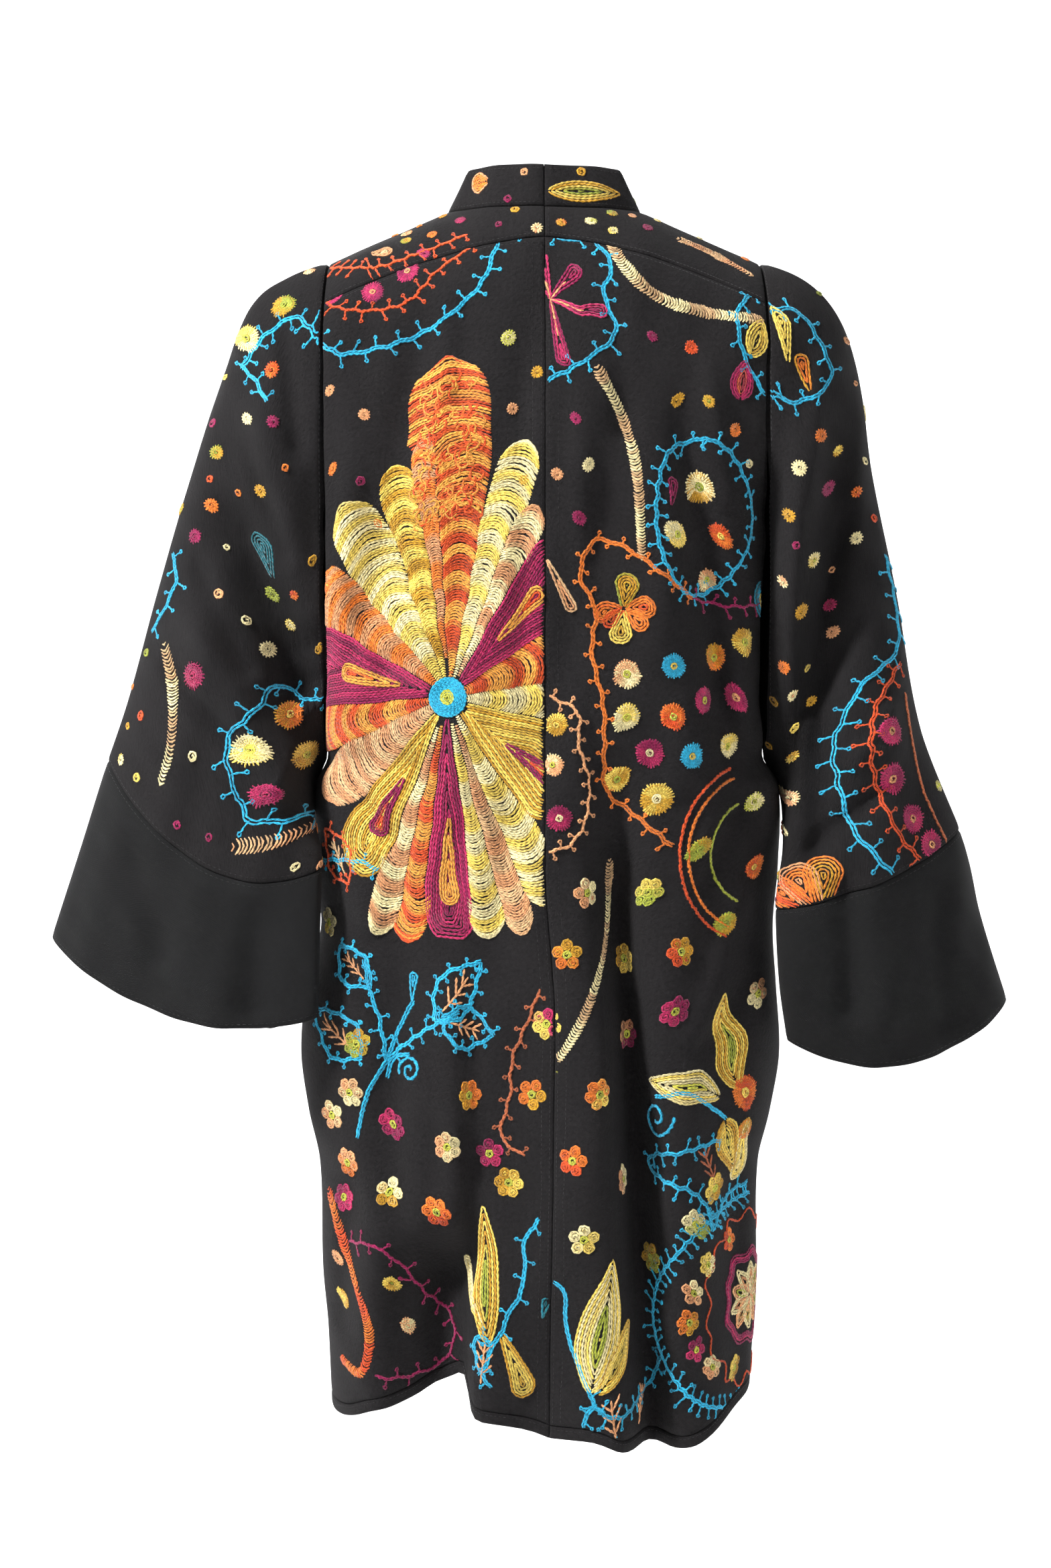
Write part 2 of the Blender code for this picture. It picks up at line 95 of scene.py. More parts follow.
# The body at a height: its reach to each side, and its depth at the centre and at the armhole.
Level = namedtuple("Level", "z left right back front arm_back arm_front")
BODY = (
    Level(0.020, 0.172, 0.172, 0.088, -0.070, 0.080, -0.074),
    Level(-0.030, 0.172, 0.172, 0.088, -0.084, 0.082, -0.076),
    Level(-0.080, 0.172, 0.172, 0.101, -0.104, 0.084, -0.078),
    Level(-0.140, 0.172, 0.172, 0.114, -0.128, 0.084, -0.080),
    Level(-0.200, 0.172, 0.172, 0.119, -0.146, 0.082, -0.080),
    Level(-0.260, 0.172, 0.172, 0.118, -0.152, 0.077, -0.077),
    Level(-0.320, 0.172, 0.172, 0.115, -0.148, 0.066, -0.067),
    Level(-0.380, 0.173, 0.173, 0.111, -0.140, 0.044, -0.045),
    Level(-0.420, 0.175, 0.176, 0.109, -0.134, 0.018, -0.018),
    Level(-0.435, 0.176, 0.178, 0.108, -0.132, 0.0, 0.0),
    Level(-0.455, 0.185, 0.190, 0.108, -0.131, 0.0, 0.0),
    Level(-0.520, 0.188, 0.191, 0.107, -0.127, 0.0, 0.0),
    Level(-0.570, 0.182, 0.187, 0.108, -0.126, 0.0, 0.0),
    Level(-0.620, 0.194, 0.190, 0.110, -0.127, 0.0, 0.0),
    Level(-0.675, 0.199, 0.193, 0.113, -0.128, 0.0, 0.0),
    Level(-0.720, 0.193, 0.186, 0.115, -0.130, 0.0, 0.0),
    Level(-0.765, 0.184, 0.176, 0.116, -0.131, 0.0, 0.0),
    Level(-0.855, 0.182, 0.175, 0.117, -0.132, 0.0, 0.0),
    Level(-0.900, 0.178, 0.173, 0.118, -0.133, 0.0, 0.0),
    Level(-1.000, 0.174, 0.168, 0.119, -0.134, 0.0, 0.0),
)

# A sleeve's top fold, underarm fold, half depths and sag: station 1 is the cuff seam, 2 its edge.
Station = namedtuple(
    "Station",
    "at outer_x outer_y outer_z inner_x inner_y inner_z half_back half_front sag",
)
SLEEVE = {
    LEFT: (
        Station(0.00, 0.172, 0.000, -0.038, 0.176, 0.000, -0.435, 0.084, 0.080, 0.000),
        Station(0.15, 0.226, 0.000, -0.070, 0.182, 0.003, -0.450, 0.078, 0.076, 0.000),
        Station(0.30, 0.257, -0.002, -0.126, 0.184, 0.010, -0.460, 0.072, 0.070, 0.002),
        Station(0.50, 0.288, -0.005, -0.215, 0.184, 0.028, -0.474, 0.067, 0.065, 0.008),
        Station(0.70, 0.315, -0.010, -0.302, 0.181, 0.050, -0.488, 0.063, 0.060, 0.020),
        Station(0.88, 0.340, -0.016, -0.387, 0.176, 0.062, -0.503, 0.060, 0.056, 0.034),
        Station(1.00, 0.358, -0.020, -0.437, 0.175, 0.068, -0.518, 0.058, 0.054, 0.040),
        Station(1.50, 0.383, -0.026, -0.511, 0.176, 0.082, -0.577, 0.056, 0.050, 0.038),
        Station(2.00, 0.409, -0.032, -0.586, 0.177, 0.087, -0.634, 0.054, 0.046, 0.027),
    ),
    RIGHT: (
        Station(0.00, 0.172, 0.000, -0.038, 0.178, 0.000, -0.435, 0.084, 0.080, 0.000),
        Station(0.15, 0.222, 0.000, -0.070, 0.185, 0.006, -0.450, 0.076, 0.074, 0.000),
        Station(0.30, 0.250, 0.000, -0.120, 0.190, 0.020, -0.465, 0.068, 0.070, 0.000),
        Station(0.50, 0.264, 0.003, -0.206, 0.190, 0.042, -0.485, 0.062, 0.066, 0.000),
        Station(0.70, 0.284, 0.008, -0.302, 0.188, 0.060, -0.508, 0.058, 0.063, 0.002),
        Station(0.88, 0.304, 0.012, -0.410, 0.183, 0.072, -0.532, 0.056, 0.061, 0.004),
        Station(1.00, 0.336, 0.015, -0.491, 0.181, 0.078, -0.549, 0.055, 0.060, 0.008),
        Station(1.50, 0.354, 0.015, -0.561, 0.184, 0.080, -0.607, 0.054, 0.058, 0.026),
        Station(2.00, 0.377, 0.012, -0.631, 0.192, 0.068, -0.656, 0.053, 0.056, 0.029),
    ),
}

# A soft ridge, or a trough where its height is negative, along a line on the back or the front.
# Lean carries its crest sideways. The large ones, which come first, are in the solids too.
Fold = namedtuple("Fold", "x0 z0 x1 z1 width height lean", defaults=(0.0,))
FOLDS = {
    BACK: (
        # The back's long trough right of centre and the two rolls beside it.
        (-0.045, -0.40, -0.088, -1.02, 0.016, -0.034),
        (-0.012, -0.50, -0.040, -1.02, 0.034, 0.022, -0.010),
        (-0.100, -0.52, -0.132, -1.02, 0.026, 0.018, 0.006),
        # The slanting crease from the shoulder blade to the right underarm.
        (-0.100, -0.13, -0.150, -0.48, 0.012, -0.014),
        (-0.070, -0.16, -0.112, -0.46, 0.022, 0.008),
        # The recess left of the centre at the hem, and the roll that overhangs it.
        (0.080, -0.78, 0.078, -1.02, 0.034, -0.036),
        (0.040, -0.80, 0.036, -1.02, 0.018, 0.012, 0.014),
        (0.138, -0.70, 0.136, -1.02, 0.020, 0.012),
        (0.112, -0.46, 0.118, -0.80, 0.018, -0.010),
        # Soft troughs from the left shoulder blade.
        (0.085, -0.07, 0.135, -0.34, 0.018, -0.010),
        (0.150, -0.10, 0.160, -0.36, 0.014, 0.007),
        # The left sleeve's drag lines, running to the underarm.
        (0.262, -0.21, 0.182, -0.39, 0.020, -0.024),
        (0.225, -0.13, 0.185, -0.34, 0.018, 0.012),
        (0.300, -0.29, 0.190, -0.46, 0.022, 0.014),
        (0.290, -0.50, 0.255, -0.66, 0.030, 0.008),
        # The right sleeve's upright roll and the trough outside it.
        (-0.200, -0.12, -0.186, -0.52, 0.014, 0.016),
        (-0.170, -0.18, -0.174, -0.41, 0.011, -0.020),
        (-0.232, -0.14, -0.214, -0.52, 0.014, -0.016),
        (-0.268, -0.34, -0.262, -0.66, 0.024, 0.010),
        # Small creases that only the fine cloth has: the back's, then the sleeves'.
        (0.150, -0.21, 0.098, -0.30, 0.008, -0.0054),
        (0.160, -0.27, 0.120, -0.37, 0.007, -0.0044),
        (0.165, -0.43, 0.118, -0.50, 0.008, -0.0058),
        (0.170, -0.48, 0.132, -0.57, 0.010, 0.0051),
        (0.060, -0.05, 0.066, -0.17, 0.010, -0.0041),
        (0.030, -0.42, 0.034, -0.62, 0.012, -0.0048),
        (0.075, -0.58, 0.070, -0.82, 0.012, 0.0068),
        (0.150, -0.74, 0.164, -0.90, 0.009, -0.0068),
        (-0.052, -0.06, -0.060, -0.19, 0.010, -0.0048),
        (-0.120, -0.10, -0.143, -0.24, 0.008, 0.0051),
        (-0.125, -0.32, -0.152, -0.43, 0.007, -0.0058),
        (-0.165, -0.45, -0.120, -0.54, 0.009, -0.0075),
        (-0.160, -0.52, -0.118, -0.66, 0.011, 0.0061),
        (-0.020, -0.30, -0.042, -0.46, 0.010, -0.0051),
        (-0.070, -0.60, -0.098, -0.86, 0.008, -0.0068),
        (-0.150, -0.72, -0.158, -0.95, 0.010, -0.0085),
        # The left sleeve, from the shoulder to the cuff.
        (0.205, -0.08, 0.190, -0.20, 0.008, -0.0061),
        (0.240, -0.17, 0.198, -0.28, 0.008, -0.0068),
        (0.282, -0.27, 0.230, -0.37, 0.009, -0.0075),
        (0.312, -0.35, 0.232, -0.43, 0.009, -0.0085),
        (0.320, -0.42, 0.205, -0.49, 0.010, -0.0071),
        (0.340, -0.49, 0.300, -0.60, 0.013, -0.0068),
        (0.225, -0.53, 0.228, -0.64, 0.015, -0.0078),
        (0.188, -0.40, 0.212, -0.47, 0.007, 0.0051),
        # The right sleeve.
        (-0.215, -0.10, -0.208, -0.24, 0.008, 0.0051),
        (-0.245, -0.22, -0.218, -0.32, 0.008, -0.0068),
        (-0.262, -0.30, -0.205, -0.40, 0.008, -0.0068),
        (-0.282, -0.38, -0.238, -0.44, 0.008, 0.0068),
        (-0.290, -0.43, -0.200, -0.51, 0.009, -0.0085),
        (-0.236, -0.50, -0.240, -0.64, 0.012, -0.0085),
        (-0.310, -0.52, -0.318, -0.65, 0.014, -0.0068),
        # Upright falls beside the centre back, and short drags across the back's waist.
        (-0.026, -0.08, -0.030, -0.46, 0.010, 0.0045),
        (0.018, -0.10, 0.016, -0.40, 0.008, -0.0035),
        (-0.060, -0.36, -0.066, -0.94, 0.009, -0.0070),
        (0.052, -0.55, 0.060, -0.98, 0.010, -0.0060),
        (0.108, -0.60, 0.096, -0.96, 0.012, 0.0055),
        (0.165, -0.58, 0.120, -0.64, 0.008, -0.0050),
        (-0.166, -0.60, -0.124, -0.66, 0.008, -0.0050),
    ),
    FRONT: (
        # The fronts: a fall from each bust and a roll at each side.
        (0.095, -0.30, 0.105, -1.02, 0.024, 0.016),
        (0.132, -0.36, 0.140, -1.02, 0.018, -0.018),
        (-0.090, -0.32, -0.104, -1.02, 0.026, 0.014),
        (-0.130, -0.34, -0.142, -1.02, 0.018, -0.016),
        (0.120, -0.12, 0.165, -0.38, 0.014, -0.012),
        (-0.120, -0.12, -0.165, -0.38, 0.014, -0.012),
        (0.262, -0.22, 0.185, -0.43, 0.016, -0.018),
        (-0.250, -0.20, -0.195, -0.44, 0.016, -0.018),
        (0.300, -0.36, 0.250, -0.62, 0.024, 0.010),
        (-0.285, -0.36, -0.250, -0.62, 0.024, 0.010),
        # The fronts and the sleeves' front faces.
        (0.080, -0.20, 0.088, -0.34, 0.009, -0.0051),
        (0.158, -0.42, 0.118, -0.52, 0.008, -0.0068),
        (0.150, -0.24, 0.112, -0.33, 0.008, -0.0054),
        (0.080, -0.62, 0.086, -0.90, 0.010, -0.0068),
        (0.160, -0.66, 0.166, -0.92, 0.011, 0.0068),
        (-0.078, -0.22, -0.084, -0.38, 0.009, -0.0054),
        (-0.156, -0.43, -0.112, -0.54, 0.009, -0.0075),
        (-0.148, -0.26, -0.118, -0.36, 0.008, -0.0054),
        (-0.076, -0.66, -0.080, -0.92, 0.010, -0.0068),
        (-0.158, -0.70, -0.162, -0.94, 0.011, 0.0068),
        (0.215, -0.10, 0.192, -0.24, 0.008, -0.0068),
        (0.290, -0.30, 0.222, -0.39, 0.009, -0.0085),
        (0.330, -0.40, 0.250, -0.48, 0.009, -0.0075),
        (0.300, -0.54, 0.290, -0.63, 0.014, -0.0068),
        (-0.215, -0.11, -0.194, -0.26, 0.008, -0.0068),
        (-0.262, -0.28, -0.214, -0.38, 0.009, -0.0085),
        (-0.296, -0.42, -0.222, -0.50, 0.009, -0.0078),
        (-0.290, -0.56, -0.284, -0.66, 0.014, -0.0068),
        (0.105, -0.10, 0.112, -0.26, 0.010, 0.0045),
        (-0.105, -0.10, -0.110, -0.28, 0.010, 0.0045),
    ),
}
# Folds fade within FOLD_FADE of the plane through both sides, rise over the share FOLD_ENDS of their
# length, keep a little height at their far end and reach FOLD_REACH widths aside.
FOLD_FADE = 0.045
FOLD_ENDS = 0.28
FOLD_END_RISE = 0.25
FOLD_REACH = 3

# Slow ripples that keep the cloth from looking pressed: waves across and down a metre, their
# height and where they start.
Ripple = namedtuple("Ripple", "across down height start")
RIPPLES = (
    Ripple(9.0, 3.5, 0.0022, 0.4),
    Ripple(-5.5, 11.0, 0.0016, 2.1),
    Ripple(23.0, 6.0, 0.0009, 1.2),
    Ripple(-14.0, 19.0, 0.0007, 4.0),
    Ripple(31.0, -27.0, 0.0005, 5.2),
)

# How far the hem lifts at each share of the way out from the centre back.
HemLift = namedtuple("HemLift", "out left right")
HEM = (
    HemLift(0.00, 0.010, 0.010),
    HemLift(0.16, 0.021, 0.011),
    HemLift(0.29, 0.027, 0.004),
    HemLift(0.35, 0.048, 0.001),
    HemLift(0.45, 0.042, -0.003),
    HemLift(0.62, 0.029, -0.005),
    HemLift(0.79, 0.021, 0.002),
    HemLift(0.92, 0.008, 0.016),
    HemLift(1.00, 0.004, 0.020),
)

# How the neckband leans from its seam: 0 is the centre back, and from 1 on it runs down the front.
BandLean = namedtuple("BandLean", "at inward backward up")
BAND = (
    BandLean(0.0, 0.000, -0.010, 0.034),
    BandLean(0.5, 0.008, -0.010, 0.034),
    BandLean(1.0, 0.018, 0.004, 0.030),
    BandLean(1.5, 0.030, -0.006, 0.018),
    BandLean(2.0, 0.040, -0.012, 0.004),
)

# How a sewn edge rolls under, and how a free one rounds off: distance from it, and depth.
SEAM_ROLL = ((0.0001, 0.0018), (0.0006, 0.0010), (0.0016, 0.0003))
FREE_ROLL = ((0.0, 0.0012), (0.0006, 0.0004))
# The allowance that laps under the neighbouring piece: how far past the edge, and how deep.
LAP = ((0.0, 0.0042), (0.004, 0.0044))
# A grid's axes, which also name the edges at its first row and column, then the edge at its last
# column; and the edges of the hem's pieces that have an allowance.
ROWS, COLUMNS, LAST_COLUMN = 0, 1, 3
HEM_LAPS = {
    ("back", "left"): (ROWS, COLUMNS, LAST_COLUMN),
    ("back", "right"): (ROWS, LAST_COLUMN),
    ("front", "left"): (ROWS,),
    ("front", "right"): (ROWS,),
}

# Chain stitch: the distance between rows, a row's half width and height, how deep its edges lie in
# the cloth, and the length of a link.
PITCH = 0.0021
HALF_ROW = 0.00125
LONE_ROW = 0.0017  # half the width of a stem's only row
ROW_HEIGHT = 0.0011
ROW_SUNK = -0.0003
LINK = 0.0034
ROW_STEP = 0.0025
LINE_SPACING = 0.25  # cm, between the points of a smooth line through given points
# A row's points are wide and narrow in turn, which shows its links, and its ends are thin and low.
WIDE, NARROW, END_WIDTH, END_HEIGHT = 1.16, 0.80, 0.7, 0.35
# The dark sewing thread of the topstitching.
THREAD_STEP = 0.0012
HALF_THREAD = 0.0003
# Space-dyed yarn: the length of thread over which its colour comes round again, how far that swings
# and varies, the most thread lost between two rows, and how dark and light a row may be.
DYE_RUN = 0.44
DYE_SWING, DYE_VARIES = 0.7, 0.22
THREAD_LOST = 0.02
TONES = (0.74, 1.06)
# Petals: the gap between neighbours, how deep a row bows, and how round the head of each style is.
GAP_ROW = 0.0004
BOW, DEEPEST_BOW = 0.32, 0.009
HEADS = {"across": 0.32, "along": 0.5}
# Stems: the distance between points, how much they waver and kink, and the size of a thorn's loop.
VINE_STEP = 0.0025
WAVER = 0.00022
ZIGZAG = 0.0008
LOOP = 0.0015
LOOP_TURNS = np.array((180, 100, 10, -80, -160))  # degrees from the thorn's heading
THORN_LEANS = (-0.2, 0.5)
THORNS_CLOSER, STEM_ROWS_CLOSER = 0.75, 0.85
UNEVEN = (0.8, 1.2)  # by how much a thorn's length and a row's bow vary
TWIG_SPREAD, TWIG_SIDE = 38, 0.34  # degrees, and share of the twig's length
CURL_WINDS_IN = 0.86
# Dots and small flowers, as shares of their radius.
DOT_GROUND, DOT_HEART = 0.88, 0.30
PETAL_PLACE, PETAL_SIZE, PETAL_HEART, FLOWER_HEART = 0.64, 0.40, 0.20, 0.30
SMALLEST_RINGED_DOT = 0.45  # cm
BARE_ROUND = 0.011  # what a strewn dot keeps clear of other work
# Finding a flat place in the cloth's grid: a guess from every few points, then short steps.
GUESS_STEP = 4
GUESSED_AT_ONCE = 2000
FINDING_STEPS = 10
LONGEST_STEP = 4
NEAR_ENOUGH = 0.001
EDGE_ROWS = 0.8


def dyed(red, green, blue):
    """A yarn's colour for light, from the shade that an eye sees."""
    return tuple(((part / 255 + 0.055) / 1.055) ** 2.4 for part in (red, green, blue))


YARNS = {
    "blue": dyed(45, 175, 215),
    "teal": dyed(25, 100, 110),
    "orange": dyed(235, 125, 45),
    "red": dyed(215, 80, 35),
    "amber": dyed(240, 165, 70),
    "gold": dyed(205, 152, 42),
    "yellow": dyed(240, 208, 95),
    "cream": dyed(244, 228, 170),
    "peach": dyed(226, 160, 110),
    "beige": dyed(218, 176, 128),
    "magenta": dyed(145, 28, 78),
    "pink": dyed(185, 42, 92),
    "olive": dyed(158, 166, 58),
    "brown": dyed(175, 95, 60),
    "lime": dyed(200, 200, 75),
    "thread": dyed(50, 49, 50),
}


def clamp(value):
    return np.clip(value, 0.0, 1.0)


def mix(a, b, share):
    return a + (b - a) * share


def ease(value):
    value = clamp(value)
    return value * value * (3 - 2 * value)


def vec(x, y, z):
    return np.stack(np.broadcast_arrays(x, y, z), axis=-1).astype(float)


def unit(vectors):
    return vectors / np.maximum(np.linalg.norm(vectors, axis=-1, keepdims=True), 1e-12)


def read(table, value):
    """A table's columns at values of its first one, on smooth curves through its rows."""
    rows = np.array(table, float)
    rising = np.sign(rows[-1, 0] - rows[0, 0])
    last = len(rows) - 1
    spot = np.clip(np.searchsorted(rising * rows[:, 0], rising * value), 1, last)
    low, high = rows[spot - 1], rows[spot]
    before, after = rows[np.maximum(spot - 2, 0)], rows[np.minimum(spot + 1, last)]
    span = (high - low)[..., :1]
    t = clamp((np.asarray(value)[..., None] - low[..., :1]) / span)
    rise_in = (high - before) / (high - before)[..., :1] * span
    rise_out = (after - low) / (after - low)[..., :1] * span
    columns = (
        low * (2 * t**3 - 3 * t**2 + 1)
        + rise_in * (t**3 - 2 * t**2 + t)
        + high * (3 * t**2 - 2 * t**3)
        + rise_out * (t**3 - t**2)
    )
    return type(table[0])(*np.moveaxis(columns, -1, 0))


def ridge_z(x):
    """Height of the shoulder ridge, and of its carried-on line behind the neck."""
    x = np.abs(x)
    behind_neck = BACK_NECK_RISE * (1 - (x / SHOULDER_START) ** 2)
    return np.where(x < SHOULDER_START, behind_neck, SHOULDER_SLOPE * (SHOULDER_START - x))


def over_shoulder(x, z):
    """0 on the shoulder ridge, and 1 once the cloth has turned down from it."""
    turned = clamp((ridge_z(x) - z) / SHOULDER_ROUND)
    return np.sqrt(1 - (1 - turned) ** 2)


def folded(face, point, stand_off):
    """Points of the cloth with every fold of this face, which dies away at the face's edges."""
    fade = ease(np.abs(stand_off) / FOLD_FADE)
    x, z = point[..., 0], point[..., 2]
    moved = point.copy()
    for fold in (Fold(*line) for line in FOLDS[face]):
        run_x, run_z = fold.x1 - fold.x0, fold.z1 - fold.z0
        length = np.hypot(run_x, run_z)
        along = ((x - fold.x0) * run_x + (z - fold.z0) * run_z) / length**2
        off = ((x - fold.x0) * run_z - (z - fold.z0) * run_x) / length
        near = (along > 0) & (along < 1) & (np.abs(off) < FOLD_REACH * fold.width)
        rise = ease(along / FOLD_ENDS) * ease((1 - along) / (FOLD_ENDS / 2) + FOLD_END_RISE)
        shape = np.where(near, np.exp(-((off / fold.width) ** 2)) * rise * fade, 0)
        moved[..., 0] += fold.lean * shape
        moved[..., 1] += face * fold.height * shape
    for ripple in RIPPLES:
        wave = np.sin(2 * pi * (ripple.across * x + ripple.down * z) + ripple.start)
        moved[..., 1] += face * ripple.height * wave * fade
    return moved


def armhole_depth(level, face):
    return np.maximum(level.arm_back, 0) if face == BACK else np.minimum(level.arm_front, 0)


def reach_to(level, side):
    return level.left if side == LEFT else level.right


def body_point(side, face, across, z):
    """A point of the body: across is 0 at the centre and 1 at the armhole or side seam."""
    level = read(BODY, z)
    reach = reach_to(level, side)
    middle = level.back if face == BACK else level.front
    wrap = ease((z - FOLLOWS_ARMHOLE_Z) / (UNDERARM_Z - FOLLOWS_ARMHOLE_Z))
    turn = across * pi / 2
    out = mix(across, np.sin(turn) ** SQUARENESS, wrap)
    around = np.maximum(np.cos(turn), 0) ** SQUARENESS
    fall = mix(1 - out**FLAT_BACK, around, wrap)
    depth = mix(armhole_depth(level, face), middle, fall) * over_shoulder(reach * out, z)
    return folded(face, vec(side * reach * out, depth, z), depth)


def across_at(side, face, x, z):
    """The share of the way across at which the body is this far from the centre."""
    low, high = np.zeros_like(z), np.ones_like(z)
    for _ in range(SEARCH_STEPS):
        middle = (low + high) / 2
        short = np.abs(body_point(side, face, middle, z)[..., 0]) < x
        low, high = np.where(short, middle, low), np.where(short, high, middle)
    return low


def front_edge_x(z):
    return mix(FRONT_EDGE_X, NECK_HALF_WIDTH, ease(1 - z / BAND_SETTLES_Z / 2))


def front_start(side, z):
    """The share across at which a front's edge lies."""
    levels = np.linspace(HEM_Z - 0.03, 0.03, EDGE_LEVELS)
    starts = across_at(side, FRONT, front_edge_x(levels), levels)
    return np.interp(z, levels, starts)


def yoke_seam_z(across):
    return YOKE_CENTRE_Z - YOKE_FALL * across**YOKE_CURVE


def hem_z(side, face, across):
    out = np.sin(across * pi / 2) ** SQUARENESS
    lift = reach_to(read(HEM, out if face == BACK else np.ones_like(out)), side)
    return HEM_Z + lift * (1 if face == BACK else out**2)


def neck_z(x):
    return NECK_SIDE_Z * (x / NECK_HALF_WIDTH) ** 2


def back_point(side, across, down):
    top, bottom = yoke_seam_z(across), hem_z(side, BACK, across) + BINDING_WIDTH
    return body_point(side, BACK, across, mix(top, bottom, down))


def yoke_point(side, across, down):
    x = ARMHOLE_X * across
    top = np.where(x < NECK_HALF_WIDTH, ridge_z(x) - neck_z(x), 0)
    seam = ridge_z(x) - yoke_seam_z(across)
    start, end = (np.arccos(1 - clamp(fall / SHOULDER_ROUND)) for fall in (top, seam))
    turned = SHOULDER_ROUND * (1 - np.cos(mix(start, end, down)))
    return body_point(side, BACK, across, ridge_z(x) - turned)


def front_point(side, across, down):
    x = mix(NECK_HALF_WIDTH, ARMHOLE_X, across)
    turn = clamp(down / SHOULDER_SHARE) * pi / 2
    over = ridge_z(x) - SHOULDER_ROUND * (1 - np.cos(turn))
    bottom = hem_z(side, FRONT, across) + BINDING_WIDTH
    lower = (down - SHOULDER_SHARE) / (1 - SHOULDER_SHARE)
    z = np.where(down < SHOULDER_SHARE, over, mix(ridge_z(x) - SHOULDER_ROUND, bottom, lower))
    return body_point(side, FRONT, mix(front_start(side, z), 1, across), z)


def binding_point(side, face, across, down):
    z = hem_z(side, face, across) + BINDING_WIDTH * (1 - down)
    start = front_start(side, z) if face == FRONT else 0
    return body_point(side, face, mix(start, 1, across), z)


def armhole_y(side, face, z):
    level = read(BODY, z)
    return armhole_depth(level, face) * over_shoulder(reach_to(level, side), z)


def sleeve_face(side, face, station, share):
    """One face of a sleeve: share is 0 at the top fold and 1 at the underarm."""
    row = read(SLEEVE[side], station)
    reach = side * (mix(row.outer_x, row.inner_x, share) + ARMHOLE_GAP)
    z = mix(row.outer_z, row.inner_z, share)
    sine = 2 * np.sqrt(clamp(share * (1 - share)))
    half = row.half_back if face == BACK else row.half_front
    own = sine * half * (1 - INNER_THINNING * share)
    first = SLEEVE[side][0]
    seam_z = mix(first.outer_z, first.inner_z, share)
    fitted = np.abs(armhole_y(side, face, mix(z, seam_z, share)))
    stand_off = mix(fitted, own, ease(station / ARMHOLE_BLEND))
    y = mix(row.outer_y, row.inner_y, share) + face * stand_off
    return folded(face, vec(reach, y, z - row.sag * sine**2), stand_off)


def sleeve_point(side, around, station):
    """A sleeve from its underarm seam at -1, over the front to the top fold at 0, then behind."""
    share = (1 - np.cos(pi * np.abs(around))) / 2
    behind = sleeve_face(side, BACK, station, share)
    before = sleeve_face(side, FRONT, station, share)
    return np.where((around >= 0)[..., None], behind, before)


def band_point(side, along, across):
    """The neckband: along is 0 at the centre back, 1 at the side neck point and 2 at the hem."""
    x = NECK_HALF_WIDTH * np.sin(clamp(along) * pi / 2)
    lean = read(BAND, clamp(along))
    behind = body_point(side, BACK, x / ARMHOLE_X, neck_z(x))
    behind = behind + vec(-side * lean.inward, lean.backward, lean.up) * across[..., None]
    z = mix(NECK_SIDE_Z, HEM_Z + BINDING_WIDTH / 2, clamp(along - 1))
    seam = body_point(side, FRONT, front_start(side, z), z)
    settled = ease((NECK_SIDE_Z - z) / (NECK_SIDE_Z - BAND_SETTLES_Z))
    lean = read(BAND, 1 + settled)
    standing = seam + vec(-side * lean.inward, lean.backward, lean.up) * across[..., None]
    lying_share = across_at(side, FRONT, front_edge_x(z) - BAND_WIDTH_FRONT * across, z)
    lying = body_point(side, FRONT, lying_share, z)
    before = mix(standing, lying, settled[..., None])
    return np.where((along <= 1)[..., None], behind, before)


def band_across(side, across, along):
    """The neckband for a grid whose rows run across it."""
    return band_point(side, along, across)


def graded(length, step, start_roll, end_roll):
    """Shares along a piece and how deep each is rolled under, closer at its sewn edges."""
    first = [(at / length, deep) for at, deep in start_roll]
    last = [(1 - at / length, deep) for at, deep in reversed(end_roll)]
    low = first[-1][0] if first else 0.0
    high = last[0][0] if last else 1.0
    count = max(round((high - low) * length / step), 1)
    inner = [(mix(low, high, i / count), 0.0) for i in range(bool(first), count + 1 - bool(last))]
    return np.array(first + inner + last).T


def arc_length(points, axis):
    steps = np.linalg.norm(np.diff(points, axis=axis), axis=-1)
    start = [(1, 0) if a == axis else (0, 0) for a in range(2)]
    return np.pad(np.cumsum(steps, axis=axis), start)


